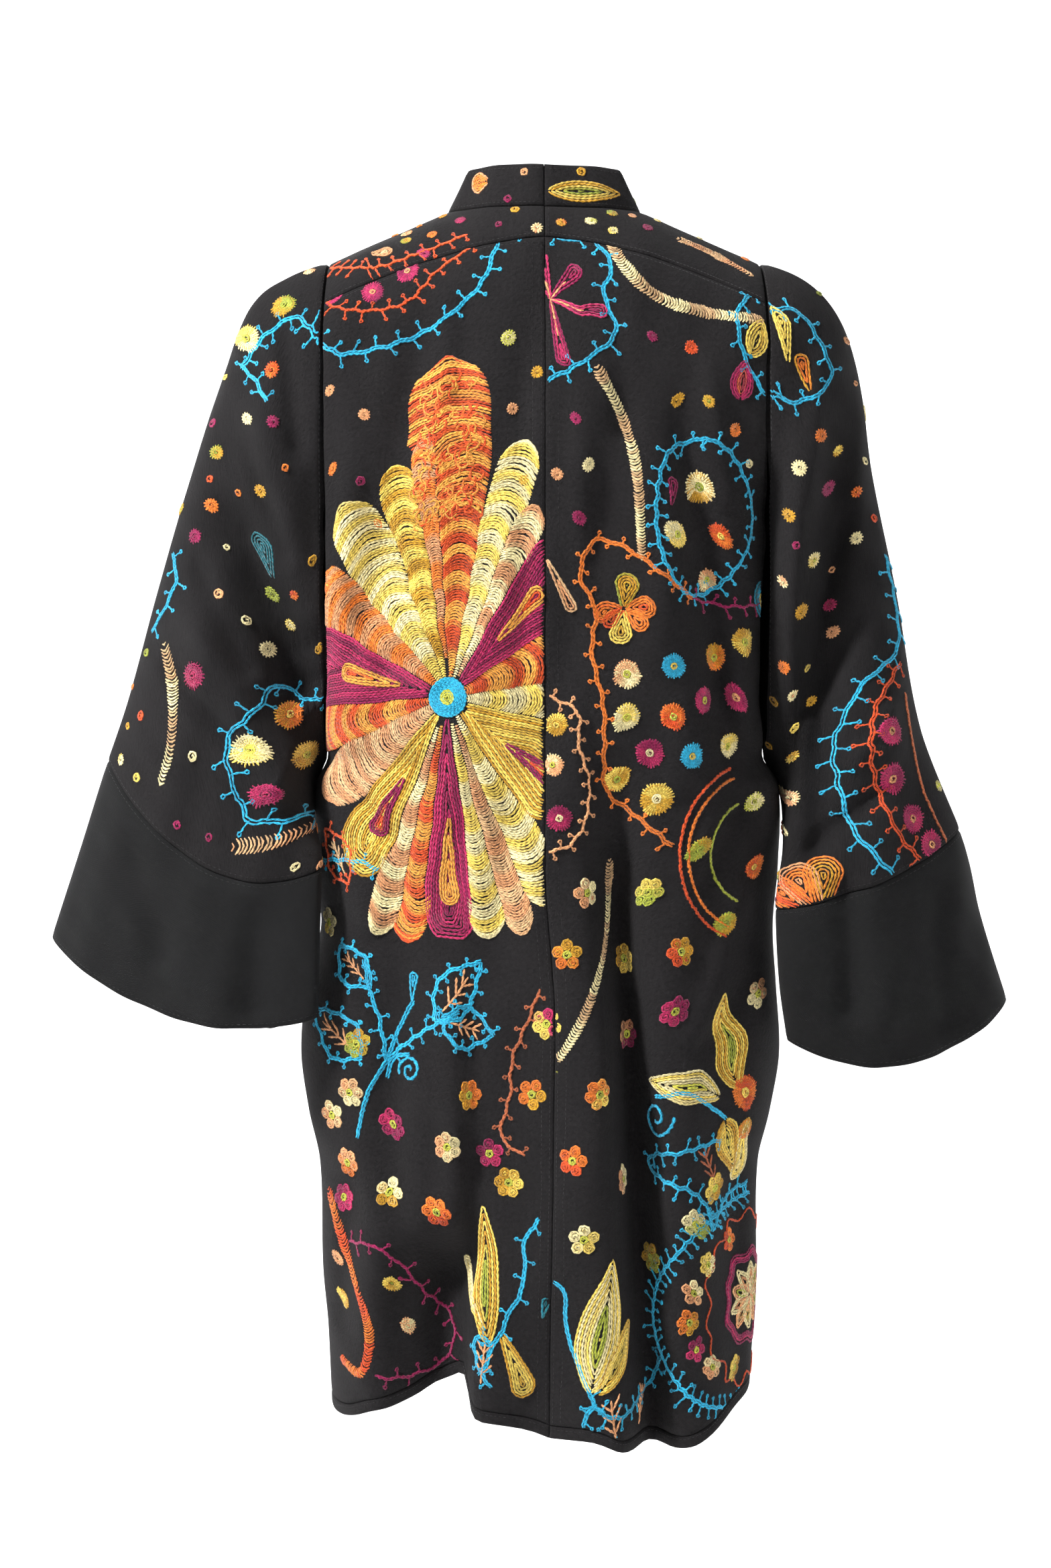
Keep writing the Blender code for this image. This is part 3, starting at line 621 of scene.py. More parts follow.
class Cloth:
    """A piece's fine grid: its points, outward normals, flat cut and thickness."""

    def __init__(self, name, point, across, down, outward, thickness, laps=(), sleeve_side=0):
        (across, roll_across), (down, roll_down) = across, down
        grid_across, grid_down = np.meshgrid(across, down)
        base = point(grid_across, grid_down)
        slope_across = np.gradient(base, across, axis=1)
        slope_down = np.gradient(base, down, axis=0)
        self.normal = unit(np.cross(slope_across, slope_down)) * outward
        depth = np.maximum(roll_across[None, :], roll_down[:, None])
        self.base = base
        self.point = base - self.normal * depth[..., None]
        self.name = name
        self.thickness = thickness
        self.outward = outward
        self.in_front = name.startswith("front")
        self.is_sleeve = bool(sleeve_side)
        if self.is_sleeve:
            cut = np.stack((arc_length(base, COLUMNS), arc_length(base, ROWS)), axis=-1)
            self.planes = self.sleeve_planes()
        else:
            cut = self.body_cut()
            self.planes = dict.fromkeys((False, True), (0, cut))
        self.shell = [base, self.normal, self.point, cut]
        for edge in laps:
            self.lap(edge % 2, -1 if edge == LAST_COLUMN else 1)

    def lap(self, axis, way):
        """Adds the allowance that turns in and laps under the neighbour along one edge."""
        base, normal, point, flat = (np.moveaxis(part, axis, 0)[::way] for part in self.shell)
        past = unit(base[0] - base[2])
        edges = [base[0] + past * at for at, _ in reversed(LAP)]
        turned = [edge - normal[0] * deep for edge, (_, deep) in zip(edges, reversed(LAP))]
        allowance = unit(flat[0] - flat[2])
        cut = [flat[0] + allowance * (at + deep) for at, deep in reversed(LAP)]
        grown = (
            np.concatenate((edges, base)),
            np.concatenate((normal[:1], normal[:1], normal)),
            np.concatenate((turned, point)),
            np.concatenate((cut, flat)),
        )
        self.shell = [np.moveaxis(part[::way], 0, axis) for part in grown]

    def body_cut(self):
        """Flat places on the cut: across as it is seen from outside, and down the cloth."""
        s, t = arc_length(self.base, 1), arc_length(self.base, 0)
        side = np.sign(self.base[:, -1:, 0])
        if self.name.startswith("neckband"):
            return np.stack((-side * s, t), axis=-1)
        level = np.mean(self.base[..., 2])
        for column in range(self.base.shape[1]):
            z = self.base[:, column, 2]
            t[:, column] -= np.interp(-level, -z, t[:, column]) + level
        way = 1 if self.in_front else -1
        return np.stack((way * (self.base[:, :1, 0] + side * s), t), axis=-1)

    def sleeve_planes(self):
        """A sleeve's back and front as they look from each side: rows that fan out from the
        underarm to the top fold, each as long as it looks."""
        middle = self.base.shape[1] // 2
        fold = self.base[:, middle][:, [0, 2]] * (-1, -1)
        inner = self.base[:, -1][:, [0, 2]] * (-1, -1)
        around = np.abs(arc_length(self.base, COLUMNS) - arc_length(self.base, COLUMNS)[:, [middle]])
        planes = {}
        for in_front, start in ((False, middle), (True, 0)):
            share = around[:, start : start + middle + 1]
            share = share / share.max(axis=1, keepdims=True)
            plane = mix(fold[:, None], inner[:, None], share[..., None])
            planes[in_front] = start, plane * ((-1, 1) if in_front else (1, 1))
        return planes

    def mesh(self, material):
        """The piece as an object: this grid thickened inwards."""
        _, _, point, flat = self.shell
        rows, columns = point.shape[:2]
        corner = np.arange(rows * columns).reshape(rows, columns)
        a, b = corner[:-1, :-1], corner[:-1, 1:]
        d, c = corner[1:, :-1], corner[1:, 1:]
        order = (a, b, c, d) if self.outward > 0 else (d, c, b, a)
        quads = np.stack(order, axis=-1).reshape(-1, 4)
        piece = make_object(self.name, point.reshape(-1, 3), quads, material)
        lay_uv(piece.data, "Cloth", flat.reshape(-1, 2))
        wall = piece.modifiers.new("Cloth", "SOLIDIFY")
        wall.thickness = self.thickness
        wall.offset = -1
        return piece

    def size(self):
        """The cut's width, length and area when laid flat."""
        _, _, point, flat = self.shell
        width, length = np.ptp(flat.reshape(-1, 2), axis=0)
        if self.is_sleeve:
            width, length = (arc_length(point, axis).max() for axis in (COLUMNS, ROWS))
        across, down = np.diff(point, axis=1)[:-1], np.diff(point, axis=0)[:, :-1]
        area = np.linalg.norm(np.cross(across, down), axis=-1).sum()
        return float(width), float(length), float(area)


def make_object(name, points, faces, material):
    mesh = bpy.data.meshes.new(name)
    corners = faces.shape[1]
    mesh.vertices.add(len(points))
    mesh.vertices.foreach_set("co", points.ravel())
    mesh.loops.add(faces.size)
    mesh.loops.foreach_set("vertex_index", faces.ravel().astype(np.int32))
    mesh.polygons.add(len(faces))
    mesh.polygons.foreach_set("loop_start", np.arange(0, faces.size, corners, dtype=np.int32))
    mesh.update(calc_edges=True)
    mesh.shade_smooth()
    mesh.materials.append(material)
    piece = bpy.data.objects.new(name, mesh)
    bpy.context.scene.collection.objects.link(piece)
    return piece


def lay_uv(mesh, name, places):
    """Writes a UV map from one place for each vertex."""
    corner_of = np.zeros(len(mesh.loops), np.int32)
    mesh.loops.foreach_get("vertex_index", corner_of)
    layer = mesh.uv_layers.new(name=name)
    layer.data.foreach_set("uv", places[corner_of].astype(np.float32).ravel())


class Finish:
    """A material, with short calls that add and wire its nodes."""

    def __init__(self, name, uv, **shader):
        self.material = bpy.data.materials.new(name)
        self.material.use_nodes = True
        self.tree = self.material.node_tree
        self.shader = self.tree.nodes["Principled BSDF"]
        for socket, value in shader.items():
            self.set(self.shader.inputs[socket.replace("_", " ")], value)
        self.uv = self.add("ShaderNodeUVMap", uv_map=uv).outputs[0]

    def set(self, socket, value):
        if isinstance(value, bpy.types.NodeSocket):
            self.tree.links.new(value, socket)
        elif hasattr(value, "__len__") and len(value) == 3 and len(socket.default_value) == 4:
            socket.default_value = (*value, 1)
        else:
            socket.default_value = value

    def add(self, kind, *values, **settings):
        """A node with these settings, its first inputs given in order."""
        node = self.tree.nodes.new(kind)
        for key, value in settings.items():
            setattr(node, key, value)
        for socket, value in zip((s for s in node.inputs if s.enabled), values):
            if value is not None:
                self.set(socket, value)
        return node

    def math(self, operation, a, b=0.0, c=0.0):
        return self.add("ShaderNodeMath", a, b, c, operation=operation).outputs[0]

    def noise(self, vector, scale, detail=2.0, roughness=0.5):
        node = self.add("ShaderNodeTexNoise")
        for socket, value in (
            ("Vector", vector),
            ("Scale", scale),
            ("Detail", detail),
            ("Roughness", roughness),
        ):
            self.set(node.inputs[socket], value)
        return node.outputs[0]

    def between(self, share, low, high):
        """A value or colour between two others."""
        colour = hasattr(low, "__len__") or isinstance(low, bpy.types.NodeSocketColor)
        node = self.add("ShaderNodeMix", data_type="RGBA" if colour else "FLOAT")
        sockets = [s for s in node.inputs if s.enabled]
        for socket, value in zip(sockets, (share, low, high)):
            self.set(socket, value)
        return next(s for s in node.outputs if s.enabled)

    def bumped(self, height, distance, strength=1.0, below=None):
        node = self.add("ShaderNodeBump")
        for socket, value in (("Height", height), ("Distance", distance), ("Strength", strength)):
            self.set(node.inputs[socket], value)
        if below is not None:
            self.set(node.inputs["Normal"], below)
        return node.outputs[0]


WORN_WOOL = (0.014, 0.0126, 0.0130)
WORN_TWILL = (0.0066, 0.0066, 0.0070)


def wool_finish():
    """Napped black wool: short lying fibres, felted clumps and slow changes of tone."""
    look = bpy.context.scene.jacket_looks
    cloth = Finish(
        "Napped black wool",
        "Cloth",
        Roughness=0.95,
        Sheen_Weight=0.015,
        Sheen_Roughness=0.5,
        Specular_IOR_Level=0.10,
    )
    fibres = cloth.noise(cloth.uv, 1500, 4, 0.7)
    clumps = cloth.noise(cloth.uv, 330, 3, 0.6)
    slow = cloth.noise(cloth.uv, 16, 2, 0.5)
    tone = cloth.math("MULTIPLY_ADD", clumps, 1.3, cloth.math("MULTIPLY_ADD", fibres, 1.1, -0.7))
    dark, light = (tuple(part * lift for part in look.wool) for lift in (0.3, 2.5))
    colour = cloth.between(tone, dark, light)
    worn = cloth.between(cloth.math("MULTIPLY", slow, 0.5), colour, WORN_WOOL)
    cloth.set(cloth.shader.inputs["Base Color"], worn)
    cloth.set(cloth.shader.inputs["Roughness"], cloth.between(clumps, 0.86, 1.0))
    felt = cloth.bumped(clumps, 0.0016)
    nap = cloth.bumped(fibres, 0.0007, 0.9, felt)
    cloth.set(cloth.shader.inputs["Normal"], nap)
    return cloth.material


def twill_finish():
    """Plain black twill: slanting ribs, and a slight bloom where it has been handled."""
    look = bpy.context.scene.jacket_looks
    cloth = Finish(
        "Black twill",
        "Cloth",
        Roughness=0.85,
        Sheen_Weight=0.015,
        Sheen_Roughness=0.5,
        Specular_IOR_Level=0.14,
    )
    ribs = cloth.add("ShaderNodeTexWave", wave_type="BANDS", bands_direction="DIAGONAL")
    cloth.set(ribs.inputs["Vector"], cloth.uv)
    cloth.set(ribs.inputs["Scale"], 0.444 / look.twill_rib)
    cloth.set(ribs.inputs["Distortion"], 1.2)
    cloth.set(ribs.inputs["Detail"], 1.0)
    slub = cloth.noise(cloth.uv, 420, 3, 0.6)
    slow = cloth.noise(cloth.uv, 22, 3, 0.5)
    tone = cloth.math("MULTIPLY_ADD", slub, 0.5, cloth.math("MULTIPLY", ribs.outputs[1], 0.5))
    dark, light = (tuple(part * lift for part in look.twill) for lift in (0.6, 1.7))
    colour = cloth.between(tone, dark, light)
    worn = cloth.between(cloth.math("MULTIPLY", slow, 0.5), colour, WORN_TWILL)
    cloth.set(cloth.shader.inputs["Base Color"], worn)
    cloth.set(cloth.shader.inputs["Roughness"], cloth.between(slow, 0.78, 0.92))
    weave = cloth.bumped(ribs.outputs[1], 0.00025, 0.8)
    cloth.set(cloth.shader.inputs["Normal"], cloth.bumped(slub, 0.0003, 0.6, weave))
    return cloth.material


def finish_named(name, make):
    """A material that is made once, when the first piece asks for it."""
    return bpy.data.materials.get(name) or make()


CLOTHS = {}


def cut_piece(node, point, across, down, outward, thickness, laps=(), sleeve_side=0):
    """One piece's fine grid: its points by share across and down, and how it is graded each way."""
    form = (across, down, outward, thickness, laps, sleeve_side)
    CLOTHS[node] = Cloth(f"{node}_cloth", point, *form)


def cut_cloths(sizes):
    """Every piece's fine grid, worked out from the sizes."""
    step = sizes.grid_step
    seams = (SEAM_ROLL, SEAM_ROLL)
    free = (SEAM_ROLL, FREE_ROLL)
    across_back, rolled = graded(ARMHOLE_X, step, *seams)
    across_back = across_back ** (1 / SQUARENESS), rolled
    across_front = graded(ARMHOLE_X - NECK_HALF_WIDTH, step, *seams)
    down = graded(-HEM_Z, step, *seams)
    yoke_down = graded(YOKE_FALL, step, *seams)
    around, rolled = graded(SLEEVE_ROUND, step, *seams)
    around = around * 2 - 1, rolled
    sleeve_down = graded(SLEEVE_LENGTH, step, *seams)
    cuff_down, rolled = graded(CUFF_LENGTH, step, *free)
    cuff_down = cuff_down + 1, rolled
    hem_down = graded(BINDING_WIDTH, HEM_STEP, *free)
    behind, before = graded(NECK_ARC, step, SEAM_ROLL, ()), graded(-HEM_Z, step, (), ())
    band_down = np.append(behind[0][:-1], 1 + before[0]), np.append(behind[1][:-1], before[1])
    for side, word in SIDES:
        top = (ROWS, COLUMNS) if side == LEFT else (ROWS,)
        back, yoke = partial(back_point, side), partial(yoke_point, side)
        cut_piece(f"back_{word}", back, across_back, down, side, sizes.cloth, (*top, LAST_COLUMN))
        cut_piece(f"yoke_{word}", yoke, across_back, yoke_down, side, sizes.cloth, top)
        front = partial(front_point, side)
        cut_piece(f"front_{word}", front, across_front, down, -side, sizes.cloth, (COLUMNS,))
        for face, facing, across in ((BACK, "back", across_back), (FRONT, "front", across_front)):
            hem, thick = partial(binding_point, side, face), sizes.binding_cloth
            laps = HEM_LAPS[facing, word]
            cut_piece(f"hem_{facing}_{word}", hem, across, hem_down, side * face, thick, laps)
        tube = partial(sleeve_point, side)
        cut_piece(f"sleeve_{word}", tube, around, sleeve_down, -side, sizes.cloth, (ROWS,), side)
        cut_piece(f"cuff_{word}", tube, around, cuff_down, -side, sizes.cloth, (ROWS,), side)
        across = graded(BAND_WIDTH_FRONT, step, *free)
        laps = (ROWS, COLUMNS) if side == LEFT else (COLUMNS,)
        band, thick = partial(band_across, side), sizes.band_cloth
        cut_piece(f"neckband_{word}", band, across, band_down, side, thick, laps)


def make_piece(node, material):
    """One node's cloth as a thin shell that stands for its solid."""
    cloth = CLOTHS[node]
    piece = cloth.mesh(material)
    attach(piece, "root")
    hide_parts(node)
    width, length, area = cloth.size()
    area = min(area, width * length)
    return piece


def size_property(name, description, default, low, high):
    limits = {"min": low, "max": high}
    return FloatProperty(name=name, description=description, default=default, unit="LENGTH", **limits)


def colour_property(name, description, default):
    shown = {"subtype": "COLOR", "min": 0, "max": 1}
    return FloatVectorProperty(name=name, description=description, default=default, **shown)


class JacketSizes(bpy.types.PropertyGroup):
    """Sizes of the cloth and of its grid"""

    cloth: size_property("Wool cloth", "Thickness of the wool with its backing", 0.0018, 0.0005, 0.004)
    band_cloth: size_property("Neckband", "Thickness of the doubled neckband", 0.003, 0.001, 0.006)
    binding_cloth: size_property("Hem", "Thickness of the cloth with its turned hem", 0.0028, 0.001, 0.006)
    grid_step: size_property("Cloth grid", "Distance between the cloth's points", 0.0045, 0.002, 0.02)


class JacketLooks(bpy.types.PropertyGroup):
    """Colours of the cloth and the spacing of its ribs"""

    wool: colour_property("Wool", "Colour of the napped wool", (0.0070, 0.0064, 0.0068))
    twill: colour_property("Twill", "Colour of the cuffs", (0.0036, 0.0036, 0.0038))
    twill_rib: size_property("Twill rib", "Distance between the slanting ribs", 0.0009, 0.0003, 0.003)


class JacketYarns(bpy.types.PropertyGroup):
    """Colours of the yarns"""

    __annotations__ = {
        name: colour_property(name.capitalize(), f"Colour of the {name} yarn", dye)
        for name, dye in YARNS.items()
    }


def sampled(grid, spot):
    """Values of a grid at fractional rows and columns, and their slopes down and across."""
    corner = np.floor(spot).astype(int)
    limits = np.array(grid.shape[:2]) - 2
    row, column = np.clip(corner, 0, limits).T
    down, across = (spot - np.stack((row, column), axis=-1))[..., None].transpose(1, 0, 2)
    a, b = grid[row, column], grid[row, column + 1]
    d, c = grid[row + 1, column], grid[row + 1, column + 1]
    value = mix(mix(a, b, across), mix(d, c, across), down)
    return value, mix(d - a, c - b, across), mix(b - a, c - d, down)


def locate(places, targets):
    """Where in a grid of flat places these ones lie, and whether they are inside it."""
    coarse = places[::GUESS_STEP, ::GUESS_STEP]
    guess = []
    for some in np.array_split(targets, len(targets) // GUESSED_AT_ONCE + 1):
        away = np.linalg.norm(some[:, None, None] - coarse[None], axis=-1)
        best = away.reshape(len(some), -1).argmin(axis=1)
        guess.append(np.stack(np.unravel_index(best, coarse.shape[:2]), axis=-1))
    spot = np.concatenate(guess) * float(GUESS_STEP)
    last = np.array(places.shape[:2]) - 1
    for _ in range(FINDING_STEPS):
        value, down, across = sampled(places, spot)
        miss = targets - value
        turn = down[:, 0] * across[:, 1] - down[:, 1] * across[:, 0]
        turn = np.where(np.abs(turn) < 1e-12, 1e-12, turn)
        rows = (miss[:, 0] * across[:, 1] - miss[:, 1] * across[:, 0]) / turn
        columns = (down[:, 0] * miss[:, 1] - down[:, 1] * miss[:, 0]) / turn
        move = np.clip(np.stack((rows, columns), axis=-1), -LONGEST_STEP, LONGEST_STEP)
        spot = np.clip(spot + move, -1, last + 1)
    miss = np.linalg.norm(targets - sampled(places, spot)[0], axis=-1)
    inside = (spot >= EDGE_ROWS).all(axis=1) & (spot <= last - EDGE_ROWS).all(axis=1)
    return spot, inside & (miss < NEAR_ENOUGH)


def evenly(points, step):
    """A line's points set at even steps along it."""
    lengths = np.linalg.norm(np.diff(points[:, :2], axis=0), axis=1)
    along = np.concatenate(([0.0], np.cumsum(lengths)))
    count = max(int(round(along[-1] / step)), 2)
    at = np.linspace(0, along[-1], count + 1)
    return np.stack([np.interp(at, along, column) for column in points.T], axis=-1)


def smooth_line(points):
    """A smooth curve through given points."""
    points = np.array(points, float)
    ahead = np.vstack((2 * points[0] - points[1], points, 2 * points[-1] - points[-2]))
    run = []
    for a, b, c, d in zip(ahead, ahead[1:], ahead[2:], ahead[3:]):
        count = max(int(np.linalg.norm(c - b) / LINE_SPACING), 1)
        t = np.linspace(0, 1, count, endpoint=False)[:, None]
        bent, curled = 2 * a - 5 * b + 4 * c - d, 3 * b - a - 3 * c + d
        run.append((2 * b + (c - a) * t + bent * t**2 + curled * t**3) / 2)
    return np.vstack((*run, points[-1:]))


def heading(degrees):
    """A direction on the flat cloth, clockwise from straight up."""
    turn = np.radians(degrees)
    return np.stack((np.sin(turn), -np.cos(turn)), axis=-1)


class Needlework:
    """Rows of chain stitch on one piece of cloth, drawn in its flat places."""

    def __init__(self, node, seed):
        self.node = node
        self.cloth = CLOTHS[node]
        self.in_front = self.cloth.in_front
        self.planes = self.cloth.planes
        self.random = np.random.default_rng(seed)
        self.rows = []
        self.used = 0.0
        look = bpy.context.scene.jacket_yarns
        self.dye = {name: np.array(getattr(look, name)) for name in YARNS}

    def place(self, *seen):
        """Flat places of points given in centimetres right of the centre and down from the neck,
        as they are seen from behind, or from the front where the work is in front."""
        seen = np.array(seen, float) / 100
        start, plane = self.planes[self.in_front]
        base = self.cloth.base[:, start : start + plane.shape[1]]
        places = base[..., [0, 2]] * ((1 if self.in_front else -1), -1)
        spot, _ = locate(places, seen)
        return sampled(plane, spot)[0] + seen - sampled(places, spot)[0]

    def path(self, points):
        return self.place(*smooth_line(points))

    def row(self, points, yarn, lift=0.0, step=ROW_STEP, half=HALF_ROW):
        """One line of chain stitch. Two yarns stand for one thread dyed in two colours, which
        change as it is used up."""
        line = evenly(np.asarray(points), step)
        dyes = [self.dye[name] for name in ((yarn,) if isinstance(yarn, str) else yarn[:2])]
        run = self.used + step * np.arange(len(line))[:, None]
        self.used = run[-1, 0] + self.random.uniform(0, THREAD_LOST)
        share = ease(0.5 + DYE_SWING * np.sin(2 * pi * run / DYE_RUN) + self.random.normal(0, DYE_VARIES))
        tone = self.random.uniform(*TONES) * (0.92 + 0.16 * share)
        self.rows.append((line, mix(dyes[0], dyes[-1], share) * tone, lift, half, self.in_front))

    def petal(
        self,
        foot,
        angle,
        length,
        width,
        yarns,
        style="across",
        lift=0.0,
        rooms=(None, None),
        from_centre=0.0,
        stem=0.25,
        full=1.0,
        bend=0.0,
        pointed=False,
    ):
        """A filled petal or leaf. Its rows lie across it, or one inside another along it."""
        t = np.linspace(0, 1, 61)
        head = 1.0 if pointed else max(1 - width / (2 * length), 0.3)
        if pointed:
            body = width / 2 * np.sin(pi * t**0.8) ** 0.8
        else:
            body = width / 2 * (stem + (1 - stem) * np.minimum(t / (head * full), 1))
        sides = []
        for room in rooms:
            side = body
            if room is not None:
                degrees, reach = room
                far = from_centre + t * length
                limit = far * np.tan(np.radians(degrees)) + 2 * np.maximum(far - reach, 0)
                side = np.minimum(body, np.maximum(limit - GAP_ROW, 0))
            sides.append(side)

        def halves(inset):
            end = 1 - inset / length
            over = clamp((t - head) / max(end - head, 0.01))
            kept = (1 - over**2) ** HEADS[style] * (t <= end) * (t >= 0.5 * inset / length)
            return [np.maximum(side - inset, 0) * kept for side in sides]

        def at(share, off):
            sway = bend * length * share**2 + off
            up = (share * length)[:, None] * heading(angle)
            return foot + up + sway[:, None] * heading(angle + 90)

        if style == "across":
            left, right = halves(0)
            for centre in np.arange(PITCH / 2, length - PITCH / 2, PITCH):
                share = centre / length
                low, high = -np.interp(share, t, left), np.interp(share, t, right)
                if high - low < PITCH:
                    continue
                off = np.linspace(low, high, 7)
                bow = min(BOW * (high - low), DEEPEST_BOW) * self.random.uniform(*UNEVEN)
                lean = bow * (0.4 - ((2 * off - low - high) / (high - low)) ** 2)
                self.row(at(share + lean / length, off), yarns, lift)
            return
        inset = PITCH / 2
        while True:
            left, right = halves(inset)
            kept = t[left + right > 1e-6]
            if len(kept) < 3:
                break
            share = np.linspace(kept[0], kept[-1], 40)
            low, high = -np.interp(share, t, left), np.interp(share, t, right)
            deep = len(yarns) > 2 and inset > min(width / 2 - 1.8 * PITCH, width * 0.36)
            yarn = yarns[1:] if deep else yarns
            self.row(np.vstack((at(share, low), at(share, high)[::-1])), yarn, lift)
            inset += PITCH

    def disc(self, at, radius, *yarns):
        """A round dot: short rows round a small heart, over a filled ground."""
        self.spiral(at, radius * DOT_GROUND, yarns[:2], lift=-0.0002)
        heart = radius * DOT_HEART
        count = max(int(2 * pi * radius / (PITCH * 1.1)), 8)
        start = self.random.uniform(0, 360)
        for k in range(count):
            way = heading(start + 360 * k / count)
            out = radius * self.random.uniform(0.90, 1.06)
            self.row([at + way * heart, at + way * out], yarns, lift=0.0001, step=0.0022)
        self.spiral(at, heart, yarns[-1], lift=0.0004)

    def flower(self, at, radius, *yarns):
        """A small flower of five or six round petals."""
        petals = int(self.random.integers(5, 7))
        start = self.random.uniform(0, 360)
        for turn in start + 360 * np.arange(petals) / petals:
            spot = at + heading(turn) * radius * PETAL_PLACE
            self.spiral(spot, radius * PETAL_SIZE, yarns[:2])
            self.spiral(spot, radius * PETAL_HEART, yarns[:2], lift=0.0002)
        self.spiral(at, radius * FLOWER_HEART, yarns[-1], lift=0.0004)

    def spiral(self, at, radius, yarn, lift=0.0):
        """A disc filled by one row that winds outwards."""
        reach = max(radius - HALF_ROW * 0.7, PITCH * 0.45)
        turns = max(1.6 * reach / PITCH, 1)
        angle = np.linspace(0, 2 * pi * turns, int(26 * turns) + 8)
        out = reach * np.minimum(angle / (2 * pi) / max(turns - 0.8, 0.5), 1)
        angle = angle + self.random.uniform(0, 2 * pi)
        line = at + np.stack((np.cos(angle), np.sin(angle)), axis=-1) * out[:, None]
        self.row(line, yarn, lift, step=0.0018)

    def vine(self, line, yarn, rows=0, thorns=0.0, thorn=0.007):
        """A stem that kinks where short looped thorns stand, on alternate sides. Blue stems have
        two rows, others one."""
        rows = rows or (2 if yarn == "blue" else 1)
        line = evenly(line, VINE_STEP)
        line = line + self.random.normal(0, WAVER, line.shape)
        ahead = unit(np.gradient(line, axis=0))
        aside = np.stack((-ahead[:, 1], ahead[:, 0]), axis=-1)
        every = max(int(THORNS_CLOSER * thorns / VINE_STEP), 2)
        spots = range(every // 2, len(line) - 1, every) if thorns else ()
        if thorns:
            sway = np.cos(pi * (np.arange(len(line)) - every // 2) / every)
            line = line - aside * sway[:, None] * ZIGZAG
        for k in range(rows):
            off = (k - (rows - 1) / 2) * PITCH * STEM_ROWS_CLOSER
            self.row(line + aside * off, yarn, half=HALF_ROW if rows > 1 else LONE_ROW)
        for number, spot in enumerate(spots):
            way = aside[spot] * (1 if number % 2 else -1)
            way = unit(way + ahead[spot] * self.random.uniform(*THORN_LEANS))
            tip = line[spot] + way * thorn * self.random.uniform(*UNEVEN)
            loop = np.degrees(np.arctan2(way[0], -way[1])) + LOOP_TURNS
            hook = np.vstack((line[spot], tip + heading(loop) * LOOP))
            self.row(hook, yarn, step=0.0016, half=HALF_ROW * 0.9)

    def band(self, line, width, yarns):
        """A tapered branch filled with short rows across it."""
        line = evenly(line, PITCH * 1.15)
        ahead = unit(np.gradient(line, axis=0))
        aside = np.stack((-ahead[:, 1], ahead[:, 0]), axis=-1)
        t = np.linspace(0, 1, len(line))
        half = width / 2 * np.minimum(np.sqrt(t / 0.03 + 0.2), 1) * (1 - 0.35 * t)
        half = half * np.sqrt(clamp((1 - t) / 0.02 + 0.1))
        for k, spot in enumerate(line):
            reach = half[k] * self.random.uniform(0.9, 1.1)
            off = np.linspace(-reach, reach, 5)[:, None]
            bow = ahead[k] * (1 - (off / reach) ** 2) * reach * 0.6
            self.row(spot + aside[k] * off + bow, yarns, step=0.0028)

    def twig(self, foot, angle, length, yarn, pairs=3):
        """A small feathered twig inside a leaf."""
        tip = foot + heading(angle) * length
        self.row(np.array((foot, tip)), yarn)
        for k in range(1, pairs + 1):
            spot = foot + (tip - foot) * k / (pairs + 1)
            for way in (-TWIG_SPREAD, TWIG_SPREAD):
                end = spot + heading(angle + way) * length * TWIG_SIDE
                self.row(np.array((spot, end)), yarn)

    def outlined_leaf(self, foot, angle, length, width, yarn, twig):
        """A leaf drawn as a thorny line round a twig."""
        t = np.linspace(0, 1, 24)
        half = width / 2 * np.sin(pi * t**0.9)
        ahead, aside = heading(angle), heading(angle + 90)
        for way in (-1, 1):
            line = foot + (t * length)[:, None] * ahead + (way * half)[:, None] * aside
            self.vine(line, yarn, thorns=0.013, thorn=0.005)
        self.twig(foot + ahead * length * 0.15, angle, length * 0.6, twig)

    def curl(self, at, radius, turns, start, yarn):
        """A free spiral line that winds inwards."""
        t = np.linspace(0, 1, 60)
        angle = start + 360 * turns * t
        out = radius * (1 - CURL_WINDS_IN * t)
        self.vine(at + heading(angle) * out[:, None], yarn, rows=1)

    def topstitch(self, axis, edge, inset):
        """A line of small dark stitches along an edge, this far in from it."""
        for self.in_front in (False, True) if self.cloth.is_sleeve else (self.in_front,):
            plane = self.planes[self.in_front][1]
            flat = np.moveaxis(plane, axis, 0)[:: 1 if edge == 0 else -1]
            away = np.linalg.norm(flat - flat[0], axis=-1)
            line = [
                [np.interp(inset, far, part) for part in way.T]
                for far, way in zip(away.T, flat.transpose(1, 0, 2))
            ]
            line = evenly(np.array(line), THREAD_STEP)
            for start in range(0, len(line) - 3, 3):
                self.row(line[start : start + 3], "thread", step=THREAD_STEP, half=HALF_THREAD)

    def stem(self, points, yarn, **how):
        self.vine(self.path(points), yarn, **how)

    def branch(self, points, width, yarns):
        self.band(self.path(points), width / 100, yarns)

    def dots(self, *dots):
        """Round dots, each a place, a radius and the yarns from its rim to its heart."""
        for x, y, radius, *yarns in dots:
            at = self.place((x, y))[0]
            if radius < SMALLEST_RINGED_DOT:
                self.spiral(at, radius / 100, yarns[0])
            else:
                self.disc(at, radius / 100, *yarns)

    def leaf(self, x, y, turn, length, width, yarns, bend=0.0, foot=0.0):
        """A leaf, which is pointed where it has a third yarn."""
        at = self.place((x, y))[0] + heading(turn) * foot / 100
        pointed = len(yarns) > 2
        self.petal(at, turn, length / 100, width / 100, yarns, "along", bend=bend, pointed=pointed)

    def leaf_outline(self, x, y, turn, length, width, yarn, twig):
        self.outlined_leaf(self.place((x, y))[0], turn, length / 100, width / 100, yarn, twig)

    def twig_at(self, x, y, turn, length, yarn, pairs=3):
        self.twig(self.place((x, y))[0], turn, length / 100, yarn, pairs)

